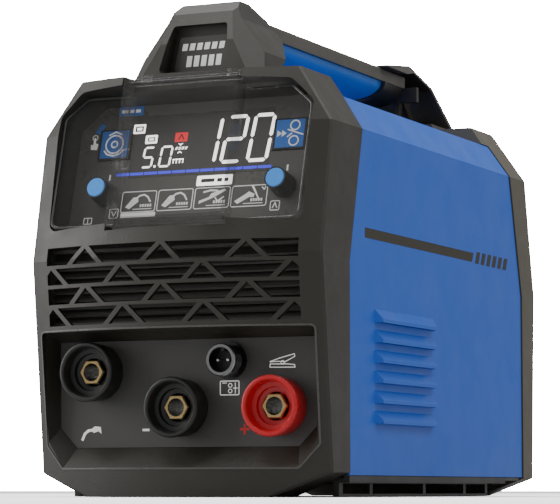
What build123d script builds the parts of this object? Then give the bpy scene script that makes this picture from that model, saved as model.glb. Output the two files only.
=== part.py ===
from build123d import *
import os
from math import cos, radians, sin, tan

# Portable inverter MIG welder. Millimetres, +X to the right seen from the front, +Y to the rear, +Z up.
# The origin is on the surface it stands on, midway between its sides and between its front and rear creases.

# ---------------------------------------------------------------- driving sizes
case_half_width = 75.0
case_half_depth = 150.5
foot_half_width = 48.0
foot_chamfer_z = 11.0
rear_foot_half_width = 50.0
rear_foot_chamfer_z = 9.3
shoulder_z = 171.0
brow_half_width = 57.6
brow_z = 197.2
crease_z = 110.0
handle_top_z = 235.0

wall = 3.0
sheet = 1.2
skin_inset = 0.6
fit_gap = 0.15

# The front face is turned about an upright axis, so that it bows forward in plan.
turn_axis_y = 57.5
front_radii = ((0.0, 196.0), (crease_z, 208.0), (shoulder_z, 197.2), (brow_z, 188.0))

# Edges of the bezels where they meet the painted skin, as (height, y).
front_joint = ((0.0, -105.0), (108.0, -105.0), (shoulder_z, -89.5), (188.0, -87.0), (brow_z, -87.0))
rear_joint = (
    (0.0, 131.0), (107.0, 131.0), (shoulder_z, 113.5), (188.0, 110.5), (188.01, 100.0), (brow_z, 100.0),
)

# Display cover: a plane that leans back, with its lower edge at this height and depth.
lean = 15.5
cover_foot_y = -138.0
cover_foot_z = 125.0
panel_depth = 18.0
panel_thickness = 2.0
web_depth = 24.0
board_depth = 29.0

# Connector tray
tray_floor_y = -122.5
tray_flare_y = -130.5
tray_seat_y = -120.0
tray_web_y = -117.0
tray_floor = ((-57.5, 22.7), (57.5, 22.7), (66.5, 32.0), (67.0, 72.8), (-67.0, 72.8), (-66.5, 32.0))
tray_mouth = ((-60.6, 13.3), (60.6, 13.3), (70.0, 24.0), (70.3, 76.6), (-70.3, 76.6), (-70.0, 24.0))

# Vent grille
grille_half_width = 64.8
grille_bottom_z = 79.4
grille_top_z = 116.0
grille_rows = 4
grille_bar = 1.7
grille_pitch = 41.5

# Sockets: centre (x, z) of each
socket_places = {
    "torch_socket": (-46.5, 58.0), "negative_socket": (-2.0, 41.0), "positive_socket": (48.0, 41.0),
}
control_place = (22.5, 62.3)

# Inside
divider_x = -16.0
fan_x = 25.5
fan_z = 100.0
feed_x = -46.5
feed_y = -55.0
wire_z = 58.0
drive_radius = 12.0
idler_radius = 10.0
spool_y = 45.0
spool_z = 112.0
hub_radius = 8.0
running_gap = 0.06

case_section = (
    (-foot_half_width, 0), (foot_half_width, 0),
    (case_half_width, foot_chamfer_z), (case_half_width, shoulder_z),
    (brow_half_width, brow_z), (-brow_half_width, brow_z),
    (-case_half_width, shoulder_z), (-case_half_width, foot_chamfer_z),
)
rear_section = (
    (-rear_foot_half_width, 0), (rear_foot_half_width, 0),
    (case_half_width, rear_foot_chamfer_z), *case_section[3:7], (-case_half_width, rear_foot_chamfer_z),
)


# ---------------------------------------------------------------- places and helpers
def upright(y):
    """An upright plane at y that faces forward; its axes are X and Z."""
    return Plane.XZ.offset(-y)


cover_plane = Plane(
    origin=(0, cover_foot_y, cover_foot_z),
    x_dir=(1, 0, 0),
    z_dir=(0, -cos(radians(lean)), sin(radians(lean))),
)


def behind_cover(depth):
    """The cover's plane moved back into the case by depth; its axes are X and up the slope."""
    return cover_plane.offset(-depth)


def cover_point(x, slope, depth):
    """A point given across the cover, up its slope and behind it."""
    return behind_cover(depth).from_local_coords((x, slope, 0))


def leaning_y(z, depth):
    """Where the plane at depth behind the cover crosses height z."""
    return cover_foot_y + (z - cover_foot_z) * tan(radians(lean)) + depth / cos(radians(lean))


def front_radius(z):
    """Radius of the turned front face at height z."""
    for (low, low_radius), (high, high_radius) in zip(front_radii, front_radii[1:]):
        if z <= high:
            return low_radius + (high_radius - low_radius) * (z - low) / (high - low)
    return front_radii[-1][1]


def outward(x, z, y):
    """A half-section plane of a part turned about a fore-and-aft axis: forward, then sideways."""
    return Plane(origin=(x, y, z), x_dir=(0, -1, 0), z_dir=(0, 0, 1))


def joint_side(joint, far_y):
    """Side outline between a bezel's joint line and a plane far outside the case."""
    points = [(y, z) for z, y in joint]
    return [(far_y, joint[0][0] - 1)] + [(points[0][0], points[0][1] - 1)] + points + [
        (points[-1][0], brow_z + 1), (far_y, brow_z + 1)]


def inset_joint(joint, shift):
    """The joint line moved along Y, as (y, height) points."""
    return [(y + shift, z) for z, y in joint]


def finish_piece(piece, name):
    """Name a finished piece and write it."""
    piece.part.label = name
    export_step(piece.part, f"parts/{name}.step")


os.makedirs("parts", exist_ok=True)
turn_axis = Axis((0, turn_axis_y, 0), (0, 0, 1))

# ---------------------------------------------------------------- front bezel
display_mouth = (
    (-65.5, -1.0), (65.5, -1.0), (66.0, 57.0), (54.5, 69.5), (-54.5, 69.5), (-66.0, 57.0),
)
mouth_lip = (
    (-65.5, -1.0), (65.5, -1.0), (66.0, 57.0), (54.8, 67.8), (-54.8, 67.8), (-66.0, 57.0),
)
lip_thickness = 4.0
mouth_round = 5.0
band_half_width = 30.0
band_rise = 10.0
cover_thickness = 1.6
hinge_slope = 71.2
hinge_rise = 3.4
hinge_point = cover_point(0, hinge_slope, -hinge_rise)
hinge_y = hinge_point.Y
hinge_z = hinge_point.Z
cover_pin_radius = 0.85
cover_pin_half = 36.0

with BuildPart() as front_cavity:
    with BuildSketch(upright(-60)):
        Polygon(*case_section, align=None)
        offset(amount=-wall, kind=Kind.INTERSECTION, mode=Mode.REPLACE)
    extrude(amount=100)
    with BuildSketch(Plane.YZ):
        Polygon(
            (-50, -1), (tray_web_y, -1), (tray_web_y, 118.5), (leaning_y(118.5, web_depth), 118.5),
            (leaning_y(brow_z, web_depth), brow_z), (-50, brow_z), align=None,
        )
    extrude(amount=case_half_width, both=True, mode=Mode.INTERSECT)

grille_wall = 2.5
with BuildPart() as grille_pocket:
    with BuildSketch(Plane.YZ):
        Polygon(
            (turn_axis_y, grille_bottom_z),
            (turn_axis_y - front_radius(grille_bottom_z) + grille_wall, grille_bottom_z),
            (turn_axis_y - front_radius(crease_z) + grille_wall, crease_z),
            (turn_axis_y - front_radius(grille_top_z) + grille_wall, grille_top_z),
            (turn_axis_y, grille_top_z), align=None,
        )
    revolve(axis=turn_axis, revolution_arc=360)
    with BuildSketch(upright(tray_web_y + 1)):
        with Locations((0, 100)):
            Rectangle(140, 60)
    extrude(amount=60, mode=Mode.INTERSECT)


def grille_apexes(row):
    """Where the zig-zag of a grille row touches the row's upper edge."""
    if row % 2:
        return [grille_pitch * (i - 1.5) for i in range(4)]
    return [grille_pitch * (i - 1) for i in range(3)]


row_height = (grille_top_z - grille_bottom_z) / grille_rows
with BuildPart() as front_bezel:
    with BuildSketch(Plane.YZ):
        Polygon(
            (turn_axis_y, 0), *[(turn_axis_y - radius, z) for z, radius in front_radii],
            (turn_axis_y, brow_z), align=None,
        )
    revolve(axis=turn_axis, revolution_arc=360)
    with BuildSketch(upright(-60)):
        Polygon(*case_section, align=None)
    extrude(amount=110, mode=Mode.INTERSECT)
    with BuildSketch(Plane.YZ):
        Polygon(*joint_side(front_joint, -170), align=None)
    extrude(amount=80, both=True, mode=Mode.INTERSECT)
    rim = front_bezel.edges().filter_by(lambda e: e.geom_type not in (GeomType.LINE, GeomType.CIRCLE))
    chamfer(rim, 1.0)
    # socket tray: a flared mouth, a seat for the connector panel and the web behind it
    with BuildSketch(upright(tray_floor_y)):
        Polygon(*tray_floor, align=None)
    with BuildSketch(upright(tray_flare_y)):
        Polygon(*tray_mouth, align=None)
    loft(mode=Mode.SUBTRACT)
    with BuildSketch(upright(tray_flare_y)):
        Polygon(*tray_mouth, align=None)
    extrude(amount=40, mode=Mode.SUBTRACT)
    with BuildSketch(upright(tray_seat_y)):
        Polygon(*tray_floor, align=None)
    extrude(amount=3, mode=Mode.SUBTRACT)
    with BuildSketch(upright(tray_web_y + 1)):
        Polygon(*tray_floor, align=None)
        offset(amount=-1.5, kind=Kind.INTERSECTION, mode=Mode.REPLACE)
    extrude(amount=6, mode=Mode.SUBTRACT)
    add(front_cavity.part, mode=Mode.SUBTRACT)
    add(grille_pocket.part, mode=Mode.SUBTRACT)
    # zig-zag grille
    with BuildSketch(upright(tray_web_y)):
        with Locations((0, (grille_bottom_z + grille_top_z) / 2)):
            Rectangle(2 * grille_half_width, grille_top_z - grille_bottom_z)
        for row in range(grille_rows):
            top = grille_top_z - row * row_height
            if row:
                with Locations((0, top)):
                    Rectangle(2 * grille_half_width + 2, grille_bar, mode=Mode.SUBTRACT)
            for apex in grille_apexes(row):
                for side in (-1, 1):
                    Polygon(
                        (apex - side * 1.2, top), (apex + side * 2.0, top),
                        (apex + side * 11.4, top - row_height), (apex + side * 8.2, top - row_height),
                        align=None, mode=Mode.SUBTRACT,
                    )
    extrude(amount=50, mode=Mode.SUBTRACT)
    # display mouth, the ledge behind the fascia and the notch for the cover's raised band
    with BuildSketch(behind_cover(panel_depth + panel_thickness)):
        Polygon(*display_mouth, align=None)
        fillet(vertices(), mouth_round)
    extrude(amount=panel_depth + panel_thickness - lip_thickness, mode=Mode.SUBTRACT)
    with BuildSketch(behind_cover(lip_thickness + 1)):
        Polygon(*mouth_lip, align=None)
        fillet(vertices(), mouth_round)
    extrude(amount=40, mode=Mode.SUBTRACT)
    with BuildSketch(behind_cover(lip_thickness + 1)):
        with Locations((0, 64)):
            Rectangle(2 * band_half_width + 2, 11)
    extrude(amount=40, mode=Mode.SUBTRACT)
    with BuildSketch(behind_cover(web_depth + 2)):
        Polygon(*display_mouth, align=None)
        offset(amount=-2.5, kind=Kind.INTERSECTION, mode=Mode.REPLACE)
    extrude(amount=10, mode=Mode.SUBTRACT)
    with BuildSketch(cover_plane):
        with Locations((0, -1.5)):
            Rectangle(2 * band_half_width + 2, 6)
    extrude(amount=40, mode=Mode.SUBTRACT)
    with BuildSketch(Plane.YZ):
        Polygon((-160, 188), (-117, 188), (-117, 200), (-160, 200), align=None)
    extrude(amount=band_half_width + 1, both=True, mode=Mode.SUBTRACT)
    with BuildSketch(Plane.YZ):
        with Locations((hinge_y, hinge_z)):
            Circle(cover_pin_radius + 0.05)
    extrude(amount=cover_pin_half + 0.5, both=True, mode=Mode.SUBTRACT)
finish_piece(front_bezel, "front_bezel")

# ---------------------------------------------------------------- connector panel and vent louvres
shell_neck_radius = 9.5
control_neck_radius = 6.0
with BuildPart() as connector_panel:
    with BuildSketch(upright(tray_seat_y)):
        Polygon(*tray_floor, align=None)
        offset(amount=-fit_gap, kind=Kind.INTERSECTION, mode=Mode.REPLACE)
        with Locations(*socket_places.values()):
            Circle(shell_neck_radius + fit_gap, mode=Mode.SUBTRACT)
        with Locations(control_place):
            Circle(control_neck_radius + fit_gap, mode=Mode.SUBTRACT)
    extrude(amount=tray_seat_y - tray_floor_y)
finish_piece(connector_panel, "connector_panel")

louvre_slats = 9
louvre_front_y = -131.0
louvre_rear_y = -119.0
louvre_mid_z = (grille_bottom_z + grille_top_z) / 2
louvre_height = grille_top_z - grille_bottom_z - 0.4
with BuildPart() as vent_louvres:
    with BuildSketch(upright(louvre_rear_y)):
        with Locations((0, louvre_mid_z)):
            Rectangle(139.2, louvre_height)
            Rectangle(136.0, louvre_height - 3.2, mode=Mode.SUBTRACT)
    extrude(amount=louvre_rear_y - louvre_front_y)
    slat_pitch = (louvre_height - 3.2) / louvre_slats
    slat_planes = [
        Plane(
            origin=(
                0, (louvre_front_y + louvre_rear_y) / 2, grille_bottom_z + 1.8 + slat_pitch * (i + 0.5),
            ),
            x_dir=(1, 0, 0), z_dir=(0, -sin(radians(35)), cos(radians(35))),
        )
        for i in range(louvre_slats)
    ]
    with BuildSketch(*slat_planes):
        Rectangle(136.4, 8.0)
    extrude(amount=0.5, both=True)
    with BuildSketch(upright(louvre_rear_y)):
        with Locations(*[(x, louvre_mid_z) for x in (-grille_pitch, 0, grille_pitch)]):
            Rectangle(1.6, louvre_height - 2)
    extrude(amount=4)
finish_piece(vent_louvres, "vent_louvres")

# ---------------------------------------------------------------- display
key_width = 17.3
key_height = 15.9
key_x = 46.3
key_slope = 49.6
knob_x = 46.7
knob_slope = 23.2
knob_front_depth = 5.7
lens_half_width = 36.8
lens_low = 31.8
lens_high = 63.8
stem_radius = 3.0
bushing_radius = 3.6

with BuildPart() as display_panel:
    with BuildSketch(behind_cover(panel_depth + panel_thickness)):
        Polygon(*display_mouth, align=None)
        fillet(vertices(), mouth_round)
        offset(amount=-fit_gap, mode=Mode.REPLACE)
        with Locations((0, (lens_low + lens_high) / 2)):
            Rectangle(2 * lens_half_width, lens_high - lens_low, mode=Mode.SUBTRACT)
        with Locations((-key_x, key_slope), (key_x, key_slope)):
            Rectangle(key_width + 0.4, key_height + 0.4, mode=Mode.SUBTRACT)
        with Locations((-knob_x, knob_slope), (knob_x, knob_slope)):
            Circle(bushing_radius + fit_gap, mode=Mode.SUBTRACT)
    extrude(amount=panel_thickness)
finish_piece(display_panel, "display_panel")

with BuildPart() as display_lens:
    with BuildSketch(behind_cover(panel_depth + 1.4)):
        with Locations((0, (lens_low + lens_high) / 2)):
            RectangleRounded(2 * (lens_half_width - fit_gap), lens_high - lens_low - 2 * fit_gap, 0.8)
    extrude(amount=1.4)
    with BuildSketch(behind_cover(board_depth)):
        with Locations((0, (lens_low + lens_high) / 2)):
            Rectangle(2 * lens_half_width - 4, lens_high - lens_low - 3)
    extrude(amount=board_depth - panel_depth - 1.4)
finish_piece(display_lens, "display_lens")

with BuildPart() as display_board:
    with BuildSketch(behind_cover(board_depth + 1.6)):
        with Locations((0, 35.5)):
            RectangleRounded(112, 61, 2)
        with Locations(*[(x, slope) for x in (-52, 52) for slope in (9, 62)]):
            Circle(1.6, mode=Mode.SUBTRACT)
    extrude(amount=1.6)
finish_piece(display_board, "display_board")

with BuildPart() as encoders:
    with BuildSketch(behind_cover(board_depth)):
        with Locations((-knob_x, knob_slope), (knob_x, knob_slope)):
            Rectangle(12, 13)
    extrude(amount=board_depth - panel_depth - panel_thickness - 0.1)
    with BuildSketch(behind_cover(panel_depth + panel_thickness + 0.5)):
        with Locations((-knob_x, knob_slope), (knob_x, knob_slope)):
            Circle(bushing_radius)
    extrude(amount=panel_thickness + 1.2)
    with BuildSketch(behind_cover(24.5)):
        with Locations((-knob_x, knob_slope), (knob_x, knob_slope)):
            Circle(stem_radius + running_gap)
    extrude(amount=10, mode=Mode.SUBTRACT)
finish_piece(encoders, "encoders")

knob_base_radius = 6.0
knob_nose_radius = 5.3
knob_rear_depth = 17.0
cap_radius = 4.6
for side, name in ((-1, "left"), (1, "right")):
    with BuildPart() as knob:
        with BuildSketch(behind_cover(knob_rear_depth)):
            with Locations((side * knob_x, knob_slope)):
                Circle(knob_base_radius)
        with BuildSketch(behind_cover(knob_front_depth + 0.4)):
            with Locations((side * knob_x, knob_slope)):
                Circle(knob_nose_radius)
        loft()
        with BuildSketch(behind_cover(knob_front_depth + 1.6)):
            with Locations((side * knob_x, knob_slope)):
                Circle(cap_radius + 0.1)
        extrude(amount=3, mode=Mode.SUBTRACT)
        with BuildSketch(behind_cover(knob_rear_depth)):
            with Locations((side * knob_x, knob_slope)):
                with PolarLocations(knob_base_radius, 24):
                    Circle(0.45)
        extrude(amount=knob_rear_depth - knob_front_depth, mode=Mode.SUBTRACT)
        with BuildSketch(behind_cover(24.0)):
            with Locations((side * knob_x, knob_slope)):
                Circle(stem_radius)
        extrude(amount=24.0 - knob_rear_depth + 1)
        with BuildSketch(behind_cover(knob_rear_depth)):
            with Locations((side * knob_x, knob_slope)):
                Circle(bushing_radius + 0.5)
                Circle(stem_radius, mode=Mode.SUBTRACT)
        extrude(amount=0.6, mode=Mode.SUBTRACT)
    finish_piece(knob, f"{name}_knob")

    with BuildPart() as knob_cap:
        with BuildSketch(behind_cover(knob_front_depth + 1.6)):
            with Locations((side * knob_x, knob_slope)):
                Circle(cap_radius)
        extrude(amount=1.6)
        fillet(knob_cap.faces().sort_by(Axis(cover_plane.origin, cover_plane.z_dir))[-1].edges(), 0.5)
    finish_piece(knob_cap, f"{name}_knob_cap")

    with BuildPart() as key:
        with BuildSketch(behind_cover(panel_depth + panel_thickness + 1.2)):
            with Locations((side * key_x, key_slope)):
                RectangleRounded(key_width + 1.8, key_height + 1.8, 1.0)
        extrude(amount=1.0)
        with BuildSketch(behind_cover(panel_depth + panel_thickness + 0.4)):
            with Locations((side * key_x, key_slope)):
                RectangleRounded(key_width, key_height, 0.8)
        extrude(amount=panel_thickness + 1.3)
        fillet(key.faces().sort_by(Axis(cover_plane.origin, cover_plane.z_dir))[-1].edges(), 0.35)
        with BuildSketch(behind_cover(board_depth - 1.2)):
            with Locations((side * key_x, key_slope)):
                Rectangle(4, 4)
        extrude(amount=board_depth - 1.2 - panel_depth - panel_thickness - 1)
    finish_piece(key, f"{name}_key")

# Display cover: a flat flange with a raised central band that carries the hinge barrel.
cover_outline = ((-64.6, 0), (64.6, 0), (65.0, 56.5), (54.0, 66.5), (-54.0, 66.5), (-65.0, 56.5))
band_inner = band_half_width - cover_thickness
band_wall_x = band_inner + cover_thickness / 2
band_top = 72.0
with BuildPart() as display_cover:
    with BuildSketch(behind_cover(cover_thickness)):
        Polygon(*cover_outline, align=None)
        fillet(vertices(), 4.5)
        with Locations((0, 1.6 + 40)):
            Rectangle(2 * band_inner, 80, mode=Mode.SUBTRACT)
    extrude(amount=cover_thickness)
    with BuildSketch(behind_cover(-band_rise + cover_thickness)):
        with Locations((0, (band_top - 3.5) / 2)):
            Rectangle(2 * band_half_width, band_top + 3.5)
    extrude(amount=cover_thickness)
    with BuildSketch(behind_cover(0)):
        with Locations((-band_wall_x, 33.25), (band_wall_x, 33.25)):
            Rectangle(cover_thickness, 66.5)
        with Locations((0, 0.8)):
            Rectangle(2 * band_half_width, 1.6)
    extrude(amount=band_rise - cover_thickness)
    with BuildSketch(behind_cover(-1.6)):
        with Locations((-band_wall_x, 69), (band_wall_x, 69)):
            Rectangle(cover_thickness, 6)
    extrude(amount=band_rise - cover_thickness - 1)
    with BuildSketch(behind_cover(-hinge_rise)):
        with Locations((0, hinge_slope)):
            Rectangle(2 * band_half_width, 1.6)
    extrude(amount=band_rise - cover_thickness - hinge_rise + 0.5)
    with BuildSketch(Plane.YZ.offset(-band_half_width)):
        with Locations((hinge_y, hinge_z)):
            Circle(1.9)
    extrude(amount=2 * band_half_width)
    with BuildSketch(Plane.YZ.offset(-band_half_width - 1)):
        with Locations((hinge_y, hinge_z)):
            Circle(cover_pin_radius + running_gap)
    extrude(amount=2 * band_half_width + 2, mode=Mode.SUBTRACT)
finish_piece(display_cover, "display_cover")

with BuildPart() as cover_hinge_pin:
    with BuildSketch(Plane.YZ.offset(-cover_pin_half)):
        with Locations((hinge_y, hinge_z)):
            Circle(cover_pin_radius)
    extrude(amount=2 * cover_pin_half)
finish_piece(cover_hinge_pin, "cover_hinge_pin")

# ---------------------------------------------------------------- sockets
socket_rim_radius = 14.0
insert_corner_radius = 6.5
insert_bore_radius = 4.2
for name, (x, z) in socket_places.items():
    with BuildPart() as socket_shell:
        with BuildSketch(outward(x, z, tray_floor_y)):
            with BuildLine():
                Polyline(
                    (-7, insert_corner_radius + 0.1), (-7, shell_neck_radius),
                    (0, shell_neck_radius), (0, 13.2),
                    (11.6, socket_rim_radius),
                )
                ThreePointArc((11.6, socket_rim_radius), (12.7, 13.6), (13.0, 12.8))
                Polyline(
                    (13.0, 12.8), (13.0, 12.2), (12.4, 11.7), (7.2, 10.9), (7.0, 8.9), (5.0, 8.6),
                    (4.6, insert_corner_radius + 0.1), (-7, insert_corner_radius + 0.1),
                )
            make_face()
        revolve(axis=Axis((x, tray_floor_y, z), (0, -1, 0)), revolution_arc=360)
    finish_piece(socket_shell, name)

insert_front_y = tray_floor_y - 6.8
insert_shoulder_y = tray_floor_y + 6.0
stud_end_y = -103.0
with BuildPart() as socket_inserts:
    with BuildSketch(upright(insert_shoulder_y)):
        with Locations(*socket_places.values()):
            RegularPolygon(insert_corner_radius, 6)
    extrude(amount=insert_shoulder_y - insert_front_y)
    chamfer(socket_inserts.faces().sort_by(Axis.Y)[:3].edges(), 0.5)
    with BuildSketch(upright(stud_end_y)):
        with Locations(*socket_places.values()):
            Circle(5.0)
    extrude(amount=stud_end_y - insert_shoulder_y + 0.5)
    with BuildSketch(upright(insert_shoulder_y + 8)):
        with Locations(*socket_places.values()):
            Circle(insert_bore_radius)
    extrude(amount=insert_shoulder_y + 10 - insert_front_y, mode=Mode.SUBTRACT)
finish_piece(socket_inserts, "socket_inserts")

with BuildPart() as socket_nuts:
    with BuildSketch(upright(tray_seat_y + 3.5)):
        with Locations(*socket_places.values()):
            RegularPolygon(12.4, 6)
            Circle(shell_neck_radius + 0.05, mode=Mode.SUBTRACT)
    extrude(amount=3.5)
finish_piece(socket_nuts, "socket_nuts")

control_x, control_z = control_place
control_bore = 5.8
with BuildPart() as control_socket:
    with BuildSketch(outward(control_x, control_z, tray_floor_y)):
        with BuildLine():
            Polyline(
                (-10, control_bore), (-10, control_neck_radius), (0, control_neck_radius), (0, 8.6),
                (1.6, 8.6), (1.6, 7.1), (8.6, 7.1), (8.6, 7.5), (10.0, 7.5), (10.4, 7.1),
                (10.4, control_bore), (-10, control_bore),
            )
        make_face()
    revolve(axis=Axis((control_x, tray_floor_y, control_z), (0, -1, 0)), revolution_arc=360)
    groove_planes = [outward(control_x, control_z, tray_floor_y - 2.6 - 1.2 * i) for i in range(5)]
    with BuildSketch(*groove_planes):
        with BuildLine():
            Polyline((0, 7.2), (0.4, 6.7), (0.8, 7.2), (0, 7.2))
        make_face()
    control_axis = Axis((control_x, tray_floor_y, control_z), (0, -1, 0))
    revolve(axis=control_axis, revolution_arc=360, mode=Mode.SUBTRACT)
finish_piece(control_socket, "control_socket")

with BuildPart() as control_core:
    with BuildSketch(upright(tray_floor_y + 9)):
        with Locations(control_place):
            Circle(control_bore - 0.1)
            with Locations((-2.6, 0), (2.6, 0)):
                Circle(0.85, mode=Mode.SUBTRACT)
    extrude(amount=12)
    with BuildSketch(upright(tray_floor_y - 2)):
        with Locations((control_x, control_z + control_bore - 1.0)):
            Rectangle(1.8, 1.3)
    extrude(amount=6)
finish_piece(control_core, "control_core")

with BuildPart() as control_pins:
    with BuildSketch(upright(tray_floor_y + 12)):
        with Locations((control_x - 2.6, control_z), (control_x + 2.6, control_z)):
            Circle(0.8)
    extrude(amount=20)
    fillet(control_pins.faces().sort_by(Axis.Y)[:2].edges(), 0.5)
finish_piece(control_pins, "control_pins")

# ---------------------------------------------------------------- rear bezel and panel
rear_profile = ((145.5, -1), (145.5, 5), (case_half_depth, 108.7), (137.0, shoulder_z), (133.0, brow_z + 1))
rear_recess_inset = 5.0
rear_panel_y = 130.0
rear_panel_thickness = 2.5
with BuildPart() as rear_bezel:
    with BuildSketch(upright(160)):
        Polygon(*rear_section, align=None)
    extrude(amount=70)
    with BuildSketch(Plane.YZ):
        Polygon(*[(y, z) for z, y in rear_joint], *reversed(rear_profile), (131.0, -1), align=None)
    extrude(amount=80, both=True, mode=Mode.INTERSECT)
    with BuildSketch(upright(134)):
        Polygon(*rear_section, align=None)
        offset(amount=-2.2, kind=Kind.INTERSECTION, mode=Mode.REPLACE)
    extrude(amount=9)
    with BuildSketch(upright(160)):
        Polygon(*rear_section, align=None)
        offset(amount=-rear_recess_inset, kind=Kind.INTERSECTION, mode=Mode.REPLACE)
    extrude(amount=160 - rear_panel_y + rear_panel_thickness, mode=Mode.SUBTRACT)
    with BuildSketch(upright(160)):
        Polygon(*rear_section, align=None)
        offset(amount=-8.0, kind=Kind.INTERSECTION, mode=Mode.REPLACE)
    extrude(amount=70, mode=Mode.SUBTRACT)
finish_piece(rear_bezel, "rear_bezel")

fan_ring_radii = (9.0, 15.5, 22.0, 28.5, 35.0)
switch_x = -45.0
switch_z = 140.0
gland_place = (-45.0, 45.0)
gas_place = (48.0, 34.0)
screw_places = [(x, z) for x in (-64.5, 64.5) for z in (20.0, 165.0)]
with BuildPart() as rear_panel:
    with BuildSketch(upright(rear_panel_y)):
        Polygon(*rear_section, align=None)
        offset(amount=-rear_recess_inset - fit_gap, kind=Kind.INTERSECTION, mode=Mode.REPLACE)
        with Locations((switch_x, switch_z)):
            Rectangle(13.4, 19.4, mode=Mode.SUBTRACT)
        with Locations(gland_place):
            Circle(8.1, mode=Mode.SUBTRACT)
        with Locations(gas_place):
            Circle(5.1, mode=Mode.SUBTRACT)
        with Locations(*screw_places):
            Circle(1.8, mode=Mode.SUBTRACT)
    extrude(amount=rear_panel_thickness)
    with BuildSketch(upright(rear_panel_y + 1)):
        with Locations((fan_x, fan_z)):
            for radius in reversed(fan_ring_radii):
                Circle(radius + 2.1)
                Circle(radius - 2.1, mode=Mode.SUBTRACT)
            with PolarLocations(20, 4, start_angle=45):
                Rectangle(44, 3.2, mode=Mode.SUBTRACT)
    extrude(amount=rear_panel_thickness + 2, mode=Mode.SUBTRACT)
finish_piece(rear_panel, "rear_panel")

with BuildPart() as panel_screws:
    with BuildSketch(upright(rear_panel_y + 1.6)):
        with Locations(*screw_places):
            Circle(3.1)
    extrude(amount=1.6)
    fillet(panel_screws.faces().sort_by(Axis.Y)[-4:].edges(), 0.8)
    with BuildSketch(upright(rear_panel_y + 2)):
        with Locations(*screw_places):
            Rectangle(3.4, 0.7)
            Rectangle(0.7, 3.4)
    extrude(amount=1.3, mode=Mode.SUBTRACT)
    with BuildSketch(upright(rear_panel_y + 0.5)):
        with Locations(*screw_places):
            Circle(1.7)
    extrude(amount=3.0)
finish_piece(panel_screws, "panel_screws")

fan_size = 80.0
fan_depth = 24.6
fan_rear_y = rear_panel_y - rear_panel_thickness
fan_front_y = fan_rear_y - fan_depth
fan_axle_radius = 2.0
with BuildPart() as fan_housing:
    with BuildSketch(upright(fan_rear_y)):
        with Locations((fan_x, fan_z)):
            RectangleRounded(fan_size, fan_size, 4)
            Circle(38.0, mode=Mode.SUBTRACT)
            with GridLocations(71.5, 71.5, 2, 2):
                Circle(2.2, mode=Mode.SUBTRACT)
    extrude(amount=fan_depth)
    with BuildSketch(upright(fan_front_y + 3)):
        with Locations((fan_x, fan_z)):
            Circle(15)
            with PolarLocations(26, 4, start_angle=20):
                Rectangle(26, 4)
    extrude(amount=3)
    with BuildSketch(upright(fan_front_y + 20)):
        with Locations((fan_x, fan_z)):
            Circle(fan_axle_radius + running_gap)
    extrude(amount=30, mode=Mode.SUBTRACT)
finish_piece(fan_housing, "fan_housing")

blade_count = 7
with BuildPart() as fan_rotor:
    with BuildSketch(upright(fan_rear_y - 1.5)):
        with Locations((fan_x, fan_z)):
            Circle(14)
    extrude(amount=18)
    fillet(fan_rotor.faces().sort_by(Axis.Y)[-1].edges(), 1.5)
    with BuildSketch(upright(fan_rear_y - 15)):
        with Locations((fan_x, fan_z)):
            Circle(fan_axle_radius)
    extrude(amount=9)
    blade_planes = []
    for i in range(blade_count):
        turn = radians(i * 360 / blade_count)
        reach = Vector(cos(turn), 0, sin(turn))
        spin = Vector(-sin(turn), 0, cos(turn))
        blade_planes.append(Plane(
            origin=Vector(fan_x, fan_rear_y - 10.5, fan_z) + reach * 24.5,
            x_dir=reach, z_dir=spin * cos(radians(40)) + Vector(0, sin(radians(40)), 0),
        ))
    with BuildSketch(*blade_planes):
        Rectangle(24, 17)
    extrude(amount=0.7, both=True)
finish_piece(fan_rotor, "fan_rotor")

rocker_tilt = 8.0
rocker_pivot_y = 128.4
rocker_pin_radius = 0.85
with BuildPart() as switch_frame:
    with BuildSketch(upright(rear_panel_y + 1.8)):
        with Locations((switch_x, switch_z)):
            RectangleRounded(15.4, 21.4, 1.5)
    extrude(amount=1.8)
    with BuildSketch(upright(rear_panel_y + 0.1)):
        with Locations((switch_x, switch_z)):
            Rectangle(13.2, 19.2)
    extrude(amount=16)
    with BuildSketch(upright(rear_panel_y + 3)):
        with Locations((switch_x, switch_z)):
            Rectangle(10.4, 16.4)
    extrude(amount=11, mode=Mode.SUBTRACT)
    with BuildSketch(Plane.YZ.offset(switch_x - 5.8)):
        with Locations((rocker_pivot_y, switch_z)):
            Circle(rocker_pin_radius)
    extrude(amount=11.6)
finish_piece(switch_frame, "switch_frame")

rocker_plane = Plane(
    origin=(switch_x - 4.9, rocker_pivot_y, switch_z),
    x_dir=(0, cos(radians(rocker_tilt)), sin(radians(rocker_tilt))), z_dir=(1, 0, 0),
)
with BuildPart() as switch_rocker:
    with BuildSketch(rocker_plane):
        with BuildLine():
            Polyline(
                (3.0, 7.4), (1.4, 0), (3.0, -7.4), (1.4, -7.7), (-3.4, -3.4), (-3.4, 3.4), (1.4, 7.7),
                (3.0, 7.4),
            )
        make_face()
    extrude(amount=9.8)
    fillet(switch_rocker.edges().filter_by(Axis.X).sort_by(Axis.Y)[-1], 0.5)
    with BuildSketch(rocker_plane):
        Circle(rocker_pin_radius + running_gap)
    extrude(amount=9.8, mode=Mode.SUBTRACT)
finish_piece(switch_rocker, "switch_rocker")

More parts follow.
